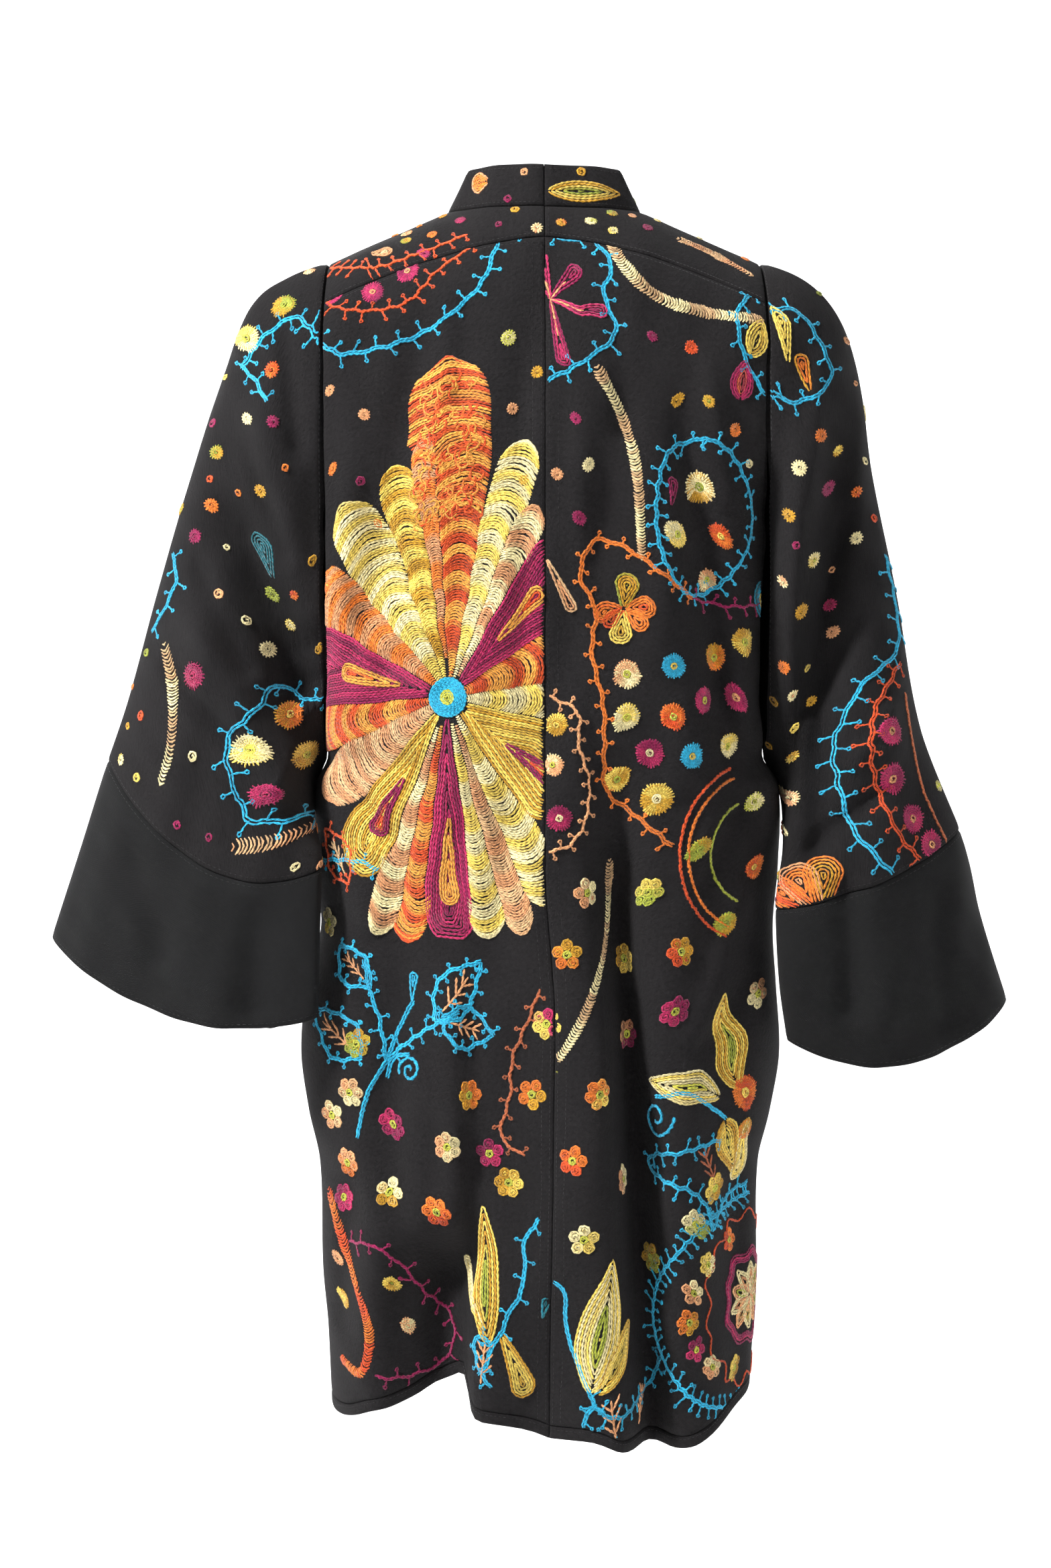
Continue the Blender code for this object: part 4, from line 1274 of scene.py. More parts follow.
    def curl_at(self, x, y, radius, turns, start, yarn):
        self.curl(self.place((x, y))[0], radius / 100, turns, start, yarn)

    def ring_at(self, x, y, radius, yarn, wave=0):
        """A ring, or a wavy one."""
        turn = np.linspace(0, 360, 90)
        out = radius / 100 * (1 + 0.06 * np.sin(np.radians(turn) * wave))
        self.row(self.place((x, y))[0] + heading(turn) * out[:, None], yarn, step=0.0026)

    def flowers(self, rows, size=1.2):
        for x, y, *yarns in rows:
            self.flower(self.place((x, y))[0], size / 100, *yarns, "lime")

    def strew(self, count, radii, below=-1.0):
        """Small dots, strewn over what is still bare below a line."""
        taken = np.vstack([row[0][::2] for row in self.rows])
        cloth = self.planes[self.in_front][1][4:-4, 4:-4].reshape(-1, 2)
        cloth = cloth[cloth[:, 1] > below]
        for _ in range(count * 6):
            spot = cloth[self.random.integers(len(cloth))]
            radius = self.random.uniform(*radii)
            yarns = PAIRS[self.random.integers(len(PAIRS))]
            if count == 0 or np.linalg.norm(taken - spot, axis=1).min() < radius + BARE_ROUND:
                continue
            if radius < 0.004:
                self.spiral(spot, radius, yarns[0])
            else:
                self.disc(spot, radius, *yarns)
            taken = np.vstack((taken, self.rows[-1][0]))
            count -= 1

    def make(self, material):
        """All the rows as one piece that follows the cloth."""
        lengths = [len(row[0]) for row in self.rows]
        flat = np.vstack([row[0] for row in self.rows])
        dye = np.vstack([row[1] for row in self.rows])
        lift, half, faces = (np.repeat([row[k] for row in self.rows], lengths) for k in (2, 3, 4))
        lift, half = lift[:, None], half[:, None]
        owner = np.repeat(np.arange(len(lengths)), lengths)
        spot, inside = np.zeros_like(flat), np.zeros(len(flat), bool)
        for face, (start, plane) in self.planes.items():
            mine = faces == face
            if mine.any():
                found, inside[mine] = locate(plane, flat[mine])
                spot[mine] = found + (0, start)
        joined = (owner[1:] == owner[:-1]) & inside[1:] & inside[:-1]
        before = np.concatenate(([False], joined))
        after = np.concatenate((joined, [False]))
        used = before | after
        point = sampled(self.cloth.point, spot)[0]
        normal = unit(sampled(self.cloth.normal, spot)[0])
        index = np.arange(len(point))
        run = point[np.where(after, index + 1, index)] - point[np.where(before, index - 1, index)]
        side = unit(np.cross(normal, unit(run)))
        end = (~(before & after))[:, None]
        crown = ROW_HEIGHT * np.where(end, END_HEIGHT, 1) * half / HALF_ROW + lift
        edge = ROW_SUNK + lift
        half = half * np.where(end, END_WIDTH, np.where(index % 2, WIDE, NARROW)[:, None])
        ribbon = (
            point + side * half + normal * edge,
            point + normal * crown,
            point - side * half + normal * edge,
        )
        renumber = np.cumsum(used) - 1
        first = renumber[:-1][joined] * 3
        quads = [
            np.stack((first + k, first + k + 1, first + k + 4, first + k + 3), axis=-1)
            for k in range(2)
        ]
        points = np.stack(ribbon, axis=1)[used].reshape(-1, 3)
        piece = make_object(f"stitches_{self.node}", points, np.vstack(quads), material)
        piece.parent = bpy.data.objects[self.cloth.name]
        steps = np.concatenate(([0.0], np.linalg.norm(np.diff(point, axis=0), axis=1)))
        along = np.cumsum(np.where(before, steps, 0))[used]
        across = np.tile((-1.0, 0.0, 1.0), len(along))
        lay_uv(piece.data, "Stitch", np.stack((np.repeat(along, 3), across), axis=-1))
        yarn = piece.data.color_attributes.new("Yarn", "FLOAT_COLOR", "POINT")
        colours = np.hstack((dye, np.ones((len(dye), 1))))[used]
        yarn.data.foreach_set("color", np.repeat(colours, 3, axis=0).astype(np.float32).ravel())


def yarn_finish():
    """Wool yarn in chain stitch: looped links, lying fibres and an uneven dye, with painted shade between
    and inside the links and along each row's edges.
    """
    yarn = Finish(
        "Chain-stitched wool yarn",
        "Stitch",
        Roughness=0.9,
        Sheen_Weight=0.15,
        Sheen_Roughness=0.5,
        Specular_IOR_Level=0.15,
    )
    dye = yarn.add("ShaderNodeVertexColor", layer_name="Yarn").outputs[0]
    split = yarn.add("ShaderNodeSeparateXYZ", yarn.uv)
    along, across = split.outputs[0], split.outputs[1]
    aside = yarn.math("ABSOLUTE", across)
    # The chain link's shape: bright on its strands and dark between and inside the links. It sets the
    # roughness and the bump, and in the colour it is painted shade.
    phase = yarn.math("FRACT", yarn.math("DIVIDE", along, LINK))
    arch = yarn.math("SINE", yarn.math("MULTIPLY", phase, pi))
    strand = yarn.math("MULTIPLY_ADD", arch, 0.42, 0.10)
    off = yarn.math("DIVIDE", yarn.math("SUBTRACT", aside, strand), 0.30)
    loop = yarn.math("EXPONENT", yarn.math("MULTIPLY", yarn.math("MULTIPLY", off, off), -1.0))
    place = yarn.add("ShaderNodeCombineXYZ", yarn.math("MULTIPLY", along, 400), across)
    fibre = yarn.noise(place.outputs[0], 3.0, 3, 0.6)
    slow = yarn.noise(place.outputs[0], 0.35, 2, 0.5)
    # The colour's brightness: painted shade between the links, times the fibres' and the run's random tone.
    light = yarn.math("MULTIPLY_ADD", loop, 0.55, yarn.math("MULTIPLY_ADD", fibre, 0.8, 0.22))
    light = yarn.math("MULTIPLY", light, yarn.math("MULTIPLY_ADD", slow, 0.9, 0.60))
    # Painted shade along each row's edges, where neighbouring rows meet in a valley; patchy noise makes it
    # deeper in places.
    patchy = yarn.noise(place.outputs[0], 0.9, 1, 0.5)
    valley_shade_depth = yarn.math("MULTIPLY_ADD", patchy, 4.4, -1.2)
    painted_valley_shade = yarn.math("MULTIPLY", yarn.math("POWER", aside, 1.7), valley_shade_depth)
    lit = yarn.add("ShaderNodeClamp", yarn.math("MULTIPLY_ADD", painted_valley_shade, -1.0, 1.0), 0.12, 1.0)
    light = yarn.math("MULTIPLY", light, lit.outputs[0])
    # The yarn's dye, scaled by the painted shade and the random tone.
    shade = yarn.add("ShaderNodeVectorMath", dye, None, None, operation="SCALE")
    yarn.set(shade.inputs["Scale"], light)
    yarn.set(yarn.shader.inputs["Base Color"], shade.outputs[0])
    yarn.set(yarn.shader.inputs["Roughness"], yarn.between(loop, 0.98, 0.82))
    links = yarn.bumped(loop, 0.0005)
    yarn.set(yarn.shader.inputs["Normal"], yarn.bumped(fibre, 0.00025, 0.8, links))
    return yarn.material


# The great flower's petals: heading clockwise from up, tip from its centre and width in
# centimetres, how its rows lie, its yarns, and the drop on it: yarn, near and far end, and width.
Petal = namedtuple("Petal", "heading tip width style yarns drop")
GREAT_FLOWER = (
    Petal(0, 27.0, 7.2, "across", ("red", "amber"), None),
    Petal(18, 20.8, 3.4, "across", ("cream", "yellow"), None),
    Petal(26, 16.4, 2.8, "across", ("peach", "cream"), None),
    Petal(43, 16.0, 7.0, "along", ("magenta", "pink"), ("amber", 6.0, 11.5, 1.5)),
    Petal(70, 13.0, 4.4, "across", ("red", "amber"), None),
    Petal(91, 13.0, 3.2, "across", ("cream", "yellow"), None),
    Petal(127, 13.8, 7.0, "along", ("gold", "yellow"), ("magenta", 6.0, 11.4, 1.7)),
    Petal(152, 18.4, 3.6, "across", ("yellow", "cream"), None),
    Petal(161.5, 19.6, 2.6, "across", ("peach", "beige"), None),
    Petal(170, 19.2, 3.2, "across", ("cream", "yellow"), None),
    Petal(181.5, 19.2, 6.6, "along", ("magenta", "pink"), ("amber", 9.4, 16.4, 1.7)),
    Petal(192.5, 20.0, 3.2, "across", ("amber", "red"), None),
    Petal(200, 20.2, 2.8, "across", ("peach", "cream"), None),
    Petal(212, 16.6, 5.6, "along", ("gold", "yellow"), ("magenta", 7.4, 13.0, 1.8)),
    Petal(238, 14.8, 4.8, "across", ("peach", "beige"), None),
    Petal(262, 17.5, 4.6, "across", ("amber", "red"), None),
    Petal(287, 17.5, 8.4, "along", ("magenta", "pink"), ("amber", 4.2, 10.2, 1.7)),
    Petal(312, 17.5, 4.4, "across", ("peach", "orange"), None),
    Petal(331, 19.0, 4.8, "across", ("yellow", "cream"), None),
    Petal(347, 20.0, 3.8, "across", ("gold", "yellow"), None),
    Petal(356, 21.6, 3.4, "across", ("peach", "orange"), None),
)
GREAT_CENTRE = (-7.5, 38.2)
GREAT_HEART = 0.014  # where the petals start, in metres from the centre
WIDEST_ROOM = 60  # degrees to one side that a petal may fill
# The scrambled stitches in the top petal's head: how many, and their range up, aside and in heading.
SCRAMBLED_ARCS = 120
SCRAMBLE = ((14.5, 25.6), (-2.5, 2.5), (0, 360))


def stitch_great_flower(work):
    """The great flower on the left back, cut through by the seams that it meets."""
    centre = work.place(GREAT_CENTRE)[0]
    last = len(GREAT_FLOWER) - 1
    for k, petal in enumerate(GREAT_FLOWER):
        rooms = []
        for other, way in ((GREAT_FLOWER[k - 1], -1), (GREAT_FLOWER[k + 1 if k < last else 0], 1)):
            apart = (other.heading - petal.heading) * way % 360
            share = petal.width / petal.tip / (petal.width / petal.tip + other.width / other.tip)
            rooms.append((min(apart * share, WIDEST_ROOM), other.tip / 100 - other.width / 200))
        work.petal(
            centre + heading(petal.heading) * GREAT_HEART,
            petal.heading,
            petal.tip / 100 - GREAT_HEART,
            petal.width / 100,
            petal.yarns,
            petal.style,
            rooms=rooms,
            from_centre=GREAT_HEART,
            stem=0.3,
            full=0.72,
        )
        if petal.drop:
            yarn, near, far, wide = petal.drop
            work.petal(
                centre + heading(petal.heading) * near / 100,
                petal.heading,
                (far - near) / 100,
                wide / 100,
                (yarn, yarn, "red"),
                "along",
                lift=0.0009,
                stem=0.2,
            )
    # The top petal's scrambled stitches, and the flower's heart.
    for _ in range(SCRAMBLED_ARCS):
        far, off, turn = (work.random.uniform(*ends) for ends in SCRAMBLE)
        arc = heading(turn + np.linspace(0, 190, 9)) * work.random.uniform(0.003, 0.007)
        spot = centre + np.array((off, -far)) / 100
        work.row(spot + arc, ("amber", "red"), lift=0.0005, step=0.0024)
    for k, (radius, yarn) in enumerate(((0.0158, "blue"), (0.0062, "lime"))):
        work.spiral(centre, radius, yarn, 0.0006 * (k + 1))


# The small flowers, as places in centimetres and their yarns.
SMALL_FLOWERS = (
    (3.3, 53.4, "peach", "cream"),
    (8.0, 53.4, "yellow", "olive"),
    (1.7, 58.0, "orange", "gold"),
    (6.3, 58.9, "gold", "yellow"),
    (10.6, 58.0, "red", "gold"),
    (10.1, 62.5, "magenta", "pink"),
    (17.0, 61.9, "peach", "cream"),
    (4.2, 68.6, "orange", "yellow"),
    (6.5, 64.9, "peach", "magenta"),
    (0.1, 63.3, "yellow", "pink"),
    (2.1, 73.7, "orange", "red"),
    (-2.8, 75.9, "gold", "yellow"),
    (-4.3, 73.7, "magenta", "pink"),
    (-7.6, 73.1, "cream", "peach"),
    (-5.9, 69.1, "orange", "gold"),
    (-11.9, 71.9, "magenta", "pink"),
    (-14.8, 65.5, "gold", "olive"),
    (-15.4, 69.5, "cream", "peach"),
    (-15.6, 75.2, "orange", "peach"),
    (-12.2, 77.1, "gold", "cream"),
    (-8.4, 78.3, "red", "orange"),
    (-16.0, 78.3, "magenta", "pink"),
    (3.0, 79.9, "yellow", "cream"),
    (6.1, 75.9, "peach", "cream"),
    (8.4, 82.5, "gold", "olive"),
    (-1.0, 68.9, "orange", "gold"),
    (-17.2, 56.4, "cream", "yellow"),
    (-16.9, 71.6, "peach", "cream"),
    (13.4, 76.9, "gold", "yellow"),
    (11.8, 79.3, "cream", "olive"),
)

PAIRS = (
    ("gold", "yellow"),
    ("cream", "peach"),
    ("magenta", "pink"),
    ("orange", "gold"),
    ("peach", "cream"),
    ("yellow", "cream"),
    ("red", "orange"),
    ("olive", "gold"),
    ("cream", "lime"),
)


def stitch_back_left(work):
    """The left back: the great flower, vines above it, and a blue plant and leaves below."""
    stitch_great_flower(work)
    shoulder_vine = [(-20.9, 9.4), (-19.4, 8.8), (-17.8, 10.3), (-16.0, 11.8), (-13.0, 11.5)]
    shoulder_vine += [(-9.4, 10.3), (-6.4, 8.2), (-4.6, 6.1), (-3.4, 3.0), (-0.4, 1.7), (1.4, 3.0)]
    work.stem(shoulder_vine, "blue", thorns=0.016, thorn=0.008)
    inner_vine = [(-18.2, 7.0), (-16.0, 8.2), (-13.6, 8.5), (-10.6, 7.9), (-8.2, 5.4)]
    work.stem(inner_vine + [(-5.8, 3.6), (-4.0, 1.8)], "red", thorns=0.012)
    work.stem([(-18.6, 5.4), (-14.6, 3.6), (-10.0, 2.6), (-5.0, 1.9)], "peach")
    for x, y in ((-16.3, 7.0), (-13.3, 7.0), (-10.6, 5.4), (-7.6, 3.3)):
        work.dots((x, y, 1.0, "magenta", "pink", "peach"))
        work.stem([(x, y - 0.9), (x - 0.6, y - 2.2)], "magenta")
    for x, y, turn in ((-12.4, 4.2, 60), (-11.4, 2.7, 20)):
        work.leaf(x - 1.1, y + 0.3, turn, 2.6, 1.6, ("peach", "cream"))
    work.dots(
        (-2.8, 10.8, 0.62, "cream", "lime", "lime"),
        (-0.6, 13.4, 0.5, "gold"),
        (-2.5, 16.2, 0.48, "peach"),
        (-13.9, 16.5, 0.5, "peach"),
        (-14.2, 21.6, 0.4, "magenta"),
        (-16.4, 20.6, 0.5, "orange"),
        (-16.6, 14.6, 0.45, "peach"),
        (-16.9, 29.6, 0.55, "orange", "red", "yellow"),
        (-1.6, 21.6, 0.45, "gold"),
        (-12.9, 24.8, 0.4, "orange"),
    )
    # Left of the great flower's foot, where the sleeve hides most of them.
    work.stem([(-18.2, 51.4), (-14.8, 51.2), (-12.9, 51.8)], "blue", thorns=0.015)
    work.leaf_outline(-15.4, 53.0, -35, 5.2, 3.2, "red", "beige")
    # The blue plant with its leaves of thorns.
    work.stem([(-14.8, 73.1), (-14.3, 70.6), (-13.6, 68.8), (-12.4, 66.8)], "blue")
    work.stem([(-12.4, 66.8), (-13.0, 63.6), (-13.8, 61.4), (-14.2, 58.9)], "blue", thorns=0.014)
    work.stem([(-12.4, 66.8), (-11.4, 64.2), (-10.3, 62.0)], "blue")
    work.leaf(-10.4, 62.2, 14, 2.6, 0.9, ("blue", "blue"))
    work.stem([(-12.4, 66.8), (-10.6, 65.2), (-8.4, 63.6), (-6.6, 62.6)], "blue", thorns=0.013)
    for x, y, turn, long, wide in (
        (-13.7, 61.2, -42, 4.6, 3.2),
        (-14.4, 66.6, -56, 6.4, 3.6),
        (-8.6, 63.4, 46, 6.8, 3.4),
        (-8.0, 63.2, 104, 5.2, 3.4),
    ):
        work.leaf_outline(x, y, turn, long, wide, "blue", "peach")
    work.curl_at(-10.6, 67.4, 1.15, 1.6, 250, "blue")
    work.stem([(-12.4, 68.2), (-11.9, 66.6), (-10.6, 66.2)], "blue")
    work.stem([(-0.4, 60.7), (-1.4, 63.4), (-2.5, 66.1), (-2.7, 69.0), (-3.4, 72.2), (-1.6, 73.7)],
              "brown", thorns=0.014, thorn=0.005)
    # Leaves at the hem.
    work.leaf(-4.4, 88.6, 353, 11.4, 2.6, ("gold", "yellow", "olive"), 0.05)
    work.leaf(-4.8, 87.2, 330, 6.2, 1.6, ("cream", "yellow"), -0.25)
    work.leaf(-3.4, 87.6, 152, 5.4, 2.2, ("yellow", "gold"), 0.1)
    work.stem([(-0.5, 78.5), (-1.6, 80.6), (-1.6, 83.4), (-2.8, 86.2), (-4.0, 88.6), (-5.2, 91.0)],
              "blue", thorns=0.02)
    work.stem([(-3.9, 88.4), (-5.4, 88.0), (-5.2, 90.2), (-4.2, 91.8)], "blue", thorns=0.012)
    work.twig_at(-5.0, 91.6, 8, 3.4, "peach")
    # The orange hook and the thorny magenta vine at the side.
    work.branch([(-17.4, 78.0), (-16.6, 80.6), (-15.4, 83.7), (-14.1, 87.2), (-13.9, 89.6), (-14.6, 91.8),
                 (-16.3, 91.4)], 1.25, ("orange", "red"))
    work.stem([(-15.6, 81.8), (-13.6, 81.3), (-11.4, 82.9), (-9.4, 85.6), (-7.4, 87.6), (-7.3, 90.0),
               (-8.6, 91.7), (-11.2, 92.2), (-13.4, 91.9)], "magenta", thorns=0.014)
    work.dots(
        (-12.1, 84.4, 0.7, "gold", "yellow", "olive"),
        (-10.8, 88.0, 0.7, "cream", "peach", "peach"),
        (-16.0, 86.6, 0.8, "gold", "yellow"),
        (-16.6, 83.4, 0.6, "peach"),
    )
    work.leaf(-0.2, 86.4, 12, 1.8, 0.8, ("blue", "teal"))
    work.flowers(SMALL_FLOWERS)


def stitch_back_right(work):
    """The right back: vines round groups of dots above, and leaf flowers and a round one below."""
    edge_vine = [(-0.4, 1.7), (1.4, 3.0), (3.6, 3.0), (5.1, 5.1), (4.5, 7.3), (5.4, 10.3), (3.3, 12.4)]
    work.stem(edge_vine + [(0.2, 14.1)], "blue", thorns=0.016, thorn=0.008)
    for turn, long, inner in ((-12, 4.4, 2.4), (33, 4.2, 2.2), (98, 4.6, 2.6), (168, 5.4, 3.0)):
        work.leaf(0.4, 7.8, turn, long, 1.3, ("magenta", "pink"))
        work.twig_at(0.4, 7.8, turn, inner, "peach", 0)
    work.branch([(4.8, 1.9), (5.9, 4.9), (8.4, 7.4), (12.0, 8.6), (16.8, 9.2)], 1.15, ("beige", "cream"))
    work.branch([(3.9, 13.0), (5.7, 16.4), (6.9, 20.6), (7.4, 27.6)], 1.0, ("beige", "cream"))
    # The blue loop and its ovals on the shoulder.
    loop = [(16.5, 6.7), (14.9, 8.4), (15.0, 10.8), (15.9, 13.2), (17.6, 15.2), (19.6, 14.2)]
    work.stem(loop, "blue", thorns=0.014)
    work.leaf(15.8, 12.0, 20, 3.6, 1.9, ("gold", "yellow", "olive"))
    work.branch([(13.2, 3.6), (15.6, 5.2), (17.4, 5.0)], 1.2, ("peach", "beige"))
    # A loop of thorns round four dots.
    ring = [(12.3, 18.3), (9.6, 19.3), (8.5, 23.0), (8.9, 27.0), (10.9, 30.2), (13.5, 29.6)]
    ring += [(15.8, 26.6), (16.0, 22.8), (14.4, 19.6), (12.3, 18.3)]
    work.stem(ring, "blue", thorns=0.013, thorn=0.007)
    work.dots(
        (11.9, 22.0, 1.3, "gold", "cream", "olive"),
        (10.1, 25.7, 1.15, "cream", "yellow", "lime"),
        (13.6, 25.8, 1.0, "red", "orange", "yellow"),
        (12.6, 29.1, 0.9, "cream", "peach", "lime"),
        (2.3, 17.0, 0.5, "magenta"),
        (0.9, 21.2, 0.5, "peach"),
        (3.3, 20.5, 0.55, "cream"),
        (2.6, 24.5, 0.6, "magenta"),
        (10.1, 15.5, 0.55, "gold"),
        (12.5, 15.6, 0.55, "gold", "olive", "olive"),
        (14.6, 17.7, 0.6, "peach", "orange"),
        (11.2, 11.4, 0.55, "red"),
        (8.2, 10.6, 0.45, "magenta"),
        (15.8, 20.2, 0.4, "cream"),
    )
    work.leaf(15.0, 15.4, 4, 3.2, 2.2, ("magenta", "pink", "orange"))
    work.leaf(9.6, 23.6, 12, 2.6, 1.1, ("magenta", "magenta"))
    # The orange vine down from the shoulder blade.
    vine = [(11.4, 30.6), (8.7, 28.5), (6.4, 26.9), (4.2, 26.1), (3.2, 26.9), (2.7, 29.1), (3.9, 31.5)]
    vine += [(3.6, 34.6), (4.5, 38.8), (4.6, 42.4), (4.8, 45.5), (6.9, 47.3), (9.9, 49.8)]
    work.stem(vine, "orange", rows=2, thorns=0.016, thorn=0.005)
    work.stem([(11.4, 30.6), (14.4, 31.2), (17.4, 31.0)], "magenta", thorns=0.014)
    for turn, long, wide, yarns in (
        (8, 2.9, 2.0, ("gold", "olive")),
        (186, 2.8, 1.9, ("gold", "yellow")),
        (80, 2.6, 1.9, ("orange", "red")),
        (128, 2.4, 1.5, ("red", "orange")),
        (268, 2.4, 1.7, ("orange", "red")),
        (232, 1.9, 1.4, ("red", "orange")),
    ):
        work.leaf(6.0, 31.4, turn, long, wide, yarns)
    work.dots(
        (6.3, 36.4, 1.15, "peach", "cream", "lime"),
        (9.9, 35.8, 1.05, "blue", "blue", "yellow"),
        (13.2, 35.2, 1.15, "gold", "orange", "lime"),
        (15.6, 34.0, 1.25, "gold", "yellow", "lime"),
        (6.3, 39.7, 1.1, "cream", "yellow", "lime"),
        (9.9, 39.7, 1.1, "orange", "red", "lime"),
        (12.4, 38.5, 1.15, "magenta", "pink", "lime"),
        (15.0, 38.3, 1.2, "magenta", "pink", "peach"),
        (8.1, 42.5, 1.2, "magenta", "pink", "cream"),
        (11.4, 42.8, 1.1, "blue", "blue", "yellow"),
        (14.4, 42.2, 1.0, "cream", "yellow", "lime"),
        (5.6, 44.6, 1.05, "gold", "yellow", "olive"),
        (8.7, 46.1, 1.35, "yellow", "gold", "cream"),
        (16.6, 46.6, 0.8, "cream", "lime", "lime"),
        (0.9, 40.3, 0.95, "gold", "yellow"),
        (0.6, 43.4, 0.9, "cream", "peach", "lime"),
        (1.1, 47.5, 1.05, "magenta", "pink", "cream"),
    )
    second = [(0.3, 38.1), (2.5, 39.3), (2.6, 41.8), (3.4, 44.7), (3.1, 47.8), (1.9, 49.6), (0.3, 50.1)]
    work.stem(second, "peach", thorns=0.012, thorn=0.005)
    work.leaf(0.1, 27.6, 152, 4.6, 1.1, ("peach", "beige"))
    for radius, yarn in ((5.9, "red"), (5.2, "orange"), (3.4, "olive")):
        turn = np.linspace(3.5, 6.0, 12)
        arc = np.stack((16.4 + radius * np.sin(turn), 50.6 - radius * 1.18 * np.cos(turn)), axis=-1)
        work.stem(arc, yarn)
    work.dots((12.1, 50.1, 1.0, "gold", "olive"), (14.2, 56.1, 1.0, "gold", "olive"))
    work.dots((16.6, 51.8, 1.0, "red", "orange", "yellow"))
    work.leaf(17.2, 32.2, 0, 3.2, 2.8, ("teal", "blue", "yellow"))
    # A long branch and the leaf flowers.
    work.branch([(5.1, 51.0), (4.8, 57.0), (3.6, 61.3), (1.4, 65.4), (-0.6, 67.4)], 1.0, ("beige", "cream"))
    work.dots((0.2, 66.9, 0.8, "gold", "olive"))
    work.leaf(15.4, 69.2, 334, 8.4, 3.4, ("gold", "yellow", "olive"), 0.12)
    work.leaf(13.8, 69.6, 296, 7.4, 2.8, ("cream", "yellow", "lime"), -0.20)
    work.leaf(14.2, 71.4, 155, 5.4, 2.8, ("gold", "yellow", "olive"))
    work.leaf(16.2, 71.6, 180, 5.6, 2.2, ("cream", "yellow"))
    work.dots((15.9, 69.6, 1.5, "red", "orange", "yellow"), (15.9, 72.6, 1.0, "orange", "gold"))
    work.curl_at(8.7, 71.0, 1.8, 1.4, 80, "blue")
    work.stem([(8.6, 69.3), (11.0, 68.9), (13.2, 70.4), (14.3, 71.4)], "blue")
    zigzag = [(14.0, 73.0), (11.4, 73.4), (8.8, 74.0), (8.4, 75.4), (11.2, 76.6), (12.7, 78.2), (13.2, 80.2)]
    work.stem(zigzag, "blue", thorns=0.013, thorn=0.007)
    work.stem([(13.2, 80.2), (14.4, 78.0), (16.4, 77.4)], "blue", thorns=0.013)
    work.twig_at(13.3, 76.8, 342, 3.4, "brown")
    # Half of a round flower at the side seam.
    round_at = (16.6, 86.8)
    for radius, yarn in ((3.9, "magenta"), (3.6, "pink"), (3.4, "magenta"), (3.2, "magenta")):
        work.ring_at(*round_at, radius, yarn, wave=9)
    for turn in range(0, 360, 36):
        work.leaf(*round_at, turn, 3.0, 1.5, ("cream", "peach", "olive"))
    for k, turn in enumerate(range(195, 360, 24)):
        x, y = (round_at + heading(turn) * (5.3, 5.6)).tolist()
        work.flowers([(x, y, *PAIRS[k % len(PAIRS)])], 1.05)
    work.ring_at(*round_at, 6.9, "red", wave=14)
    outline = [tuple(round_at + heading(a) * (8.0, 8.4)) for a in range(180, 361, 15)]
    work.stem(outline, "blue", thorns=0.009, thorn=0.008)
    # Leaves at the hem.
    work.leaf(3.5, 92.0, 8, 10.4, 4.0, ("cream", "yellow", "olive"), 0.04)
    work.leaf(4.0, 92.0, 46, 6.6, 2.4, ("gold", "yellow", "olive"), -0.1)
    work.stem([(0.0, 83.0), (1.5, 84.0), (1.6, 86.4), (2.1, 88.6), (3.5, 92.0)], "blue")
    work.stem([(3.4, 92.0), (4.4, 93.4), (6.2, 93.8), (8.4, 92.8), (9.2, 90.4)], "blue", thorns=0.012)
    work.stem([(3.9, 92.6), (3.0, 94.6), (5.2, 96.2)], "blue", thorns=0.012)
    work.twig_at(5.6, 95.8, 350, 3.6, "peach")
    work.twig_at(7.4, 95.4, 20, 3.0, "peach")
    work.leaf(0.1, 87.2, 320, 1.8, 0.9, ("blue", "teal"))
    work.flowers(SMALL_FLOWERS)


def stitch_yokes(work):
    """The strip behind the shoulder, where the upper motifs run on."""
    work.dots(
        (-11.8, 0.9, 0.9, "peach", "cream"),
        (-8.8, 2.2, 0.5, "orange"),
        (-9.4, 3.9, 0.6, "magenta", "pink"),
        (-2.3, 0.4, 0.4, "gold"),
        (6.9, 0.6, 0.4, "peach"),
        (8.0, 1.7, 0.55, "magenta"),
    )
    work.branch([(10.4, 2.4), (13.4, 3.6), (16.2, 5.4)], 1.1, ("peach", "beige"))
    work.leaf(-13.6, 3.6, 48, 2.8, 1.4, ("peach", "cream"))
    work.stem([(-17.0, 4.6), (-13.0, 4.9), (-9.0, 3.6), (-6.0, 2.4)], "red", thorns=0.013)
    work.strew(8, (0.003, 0.006))


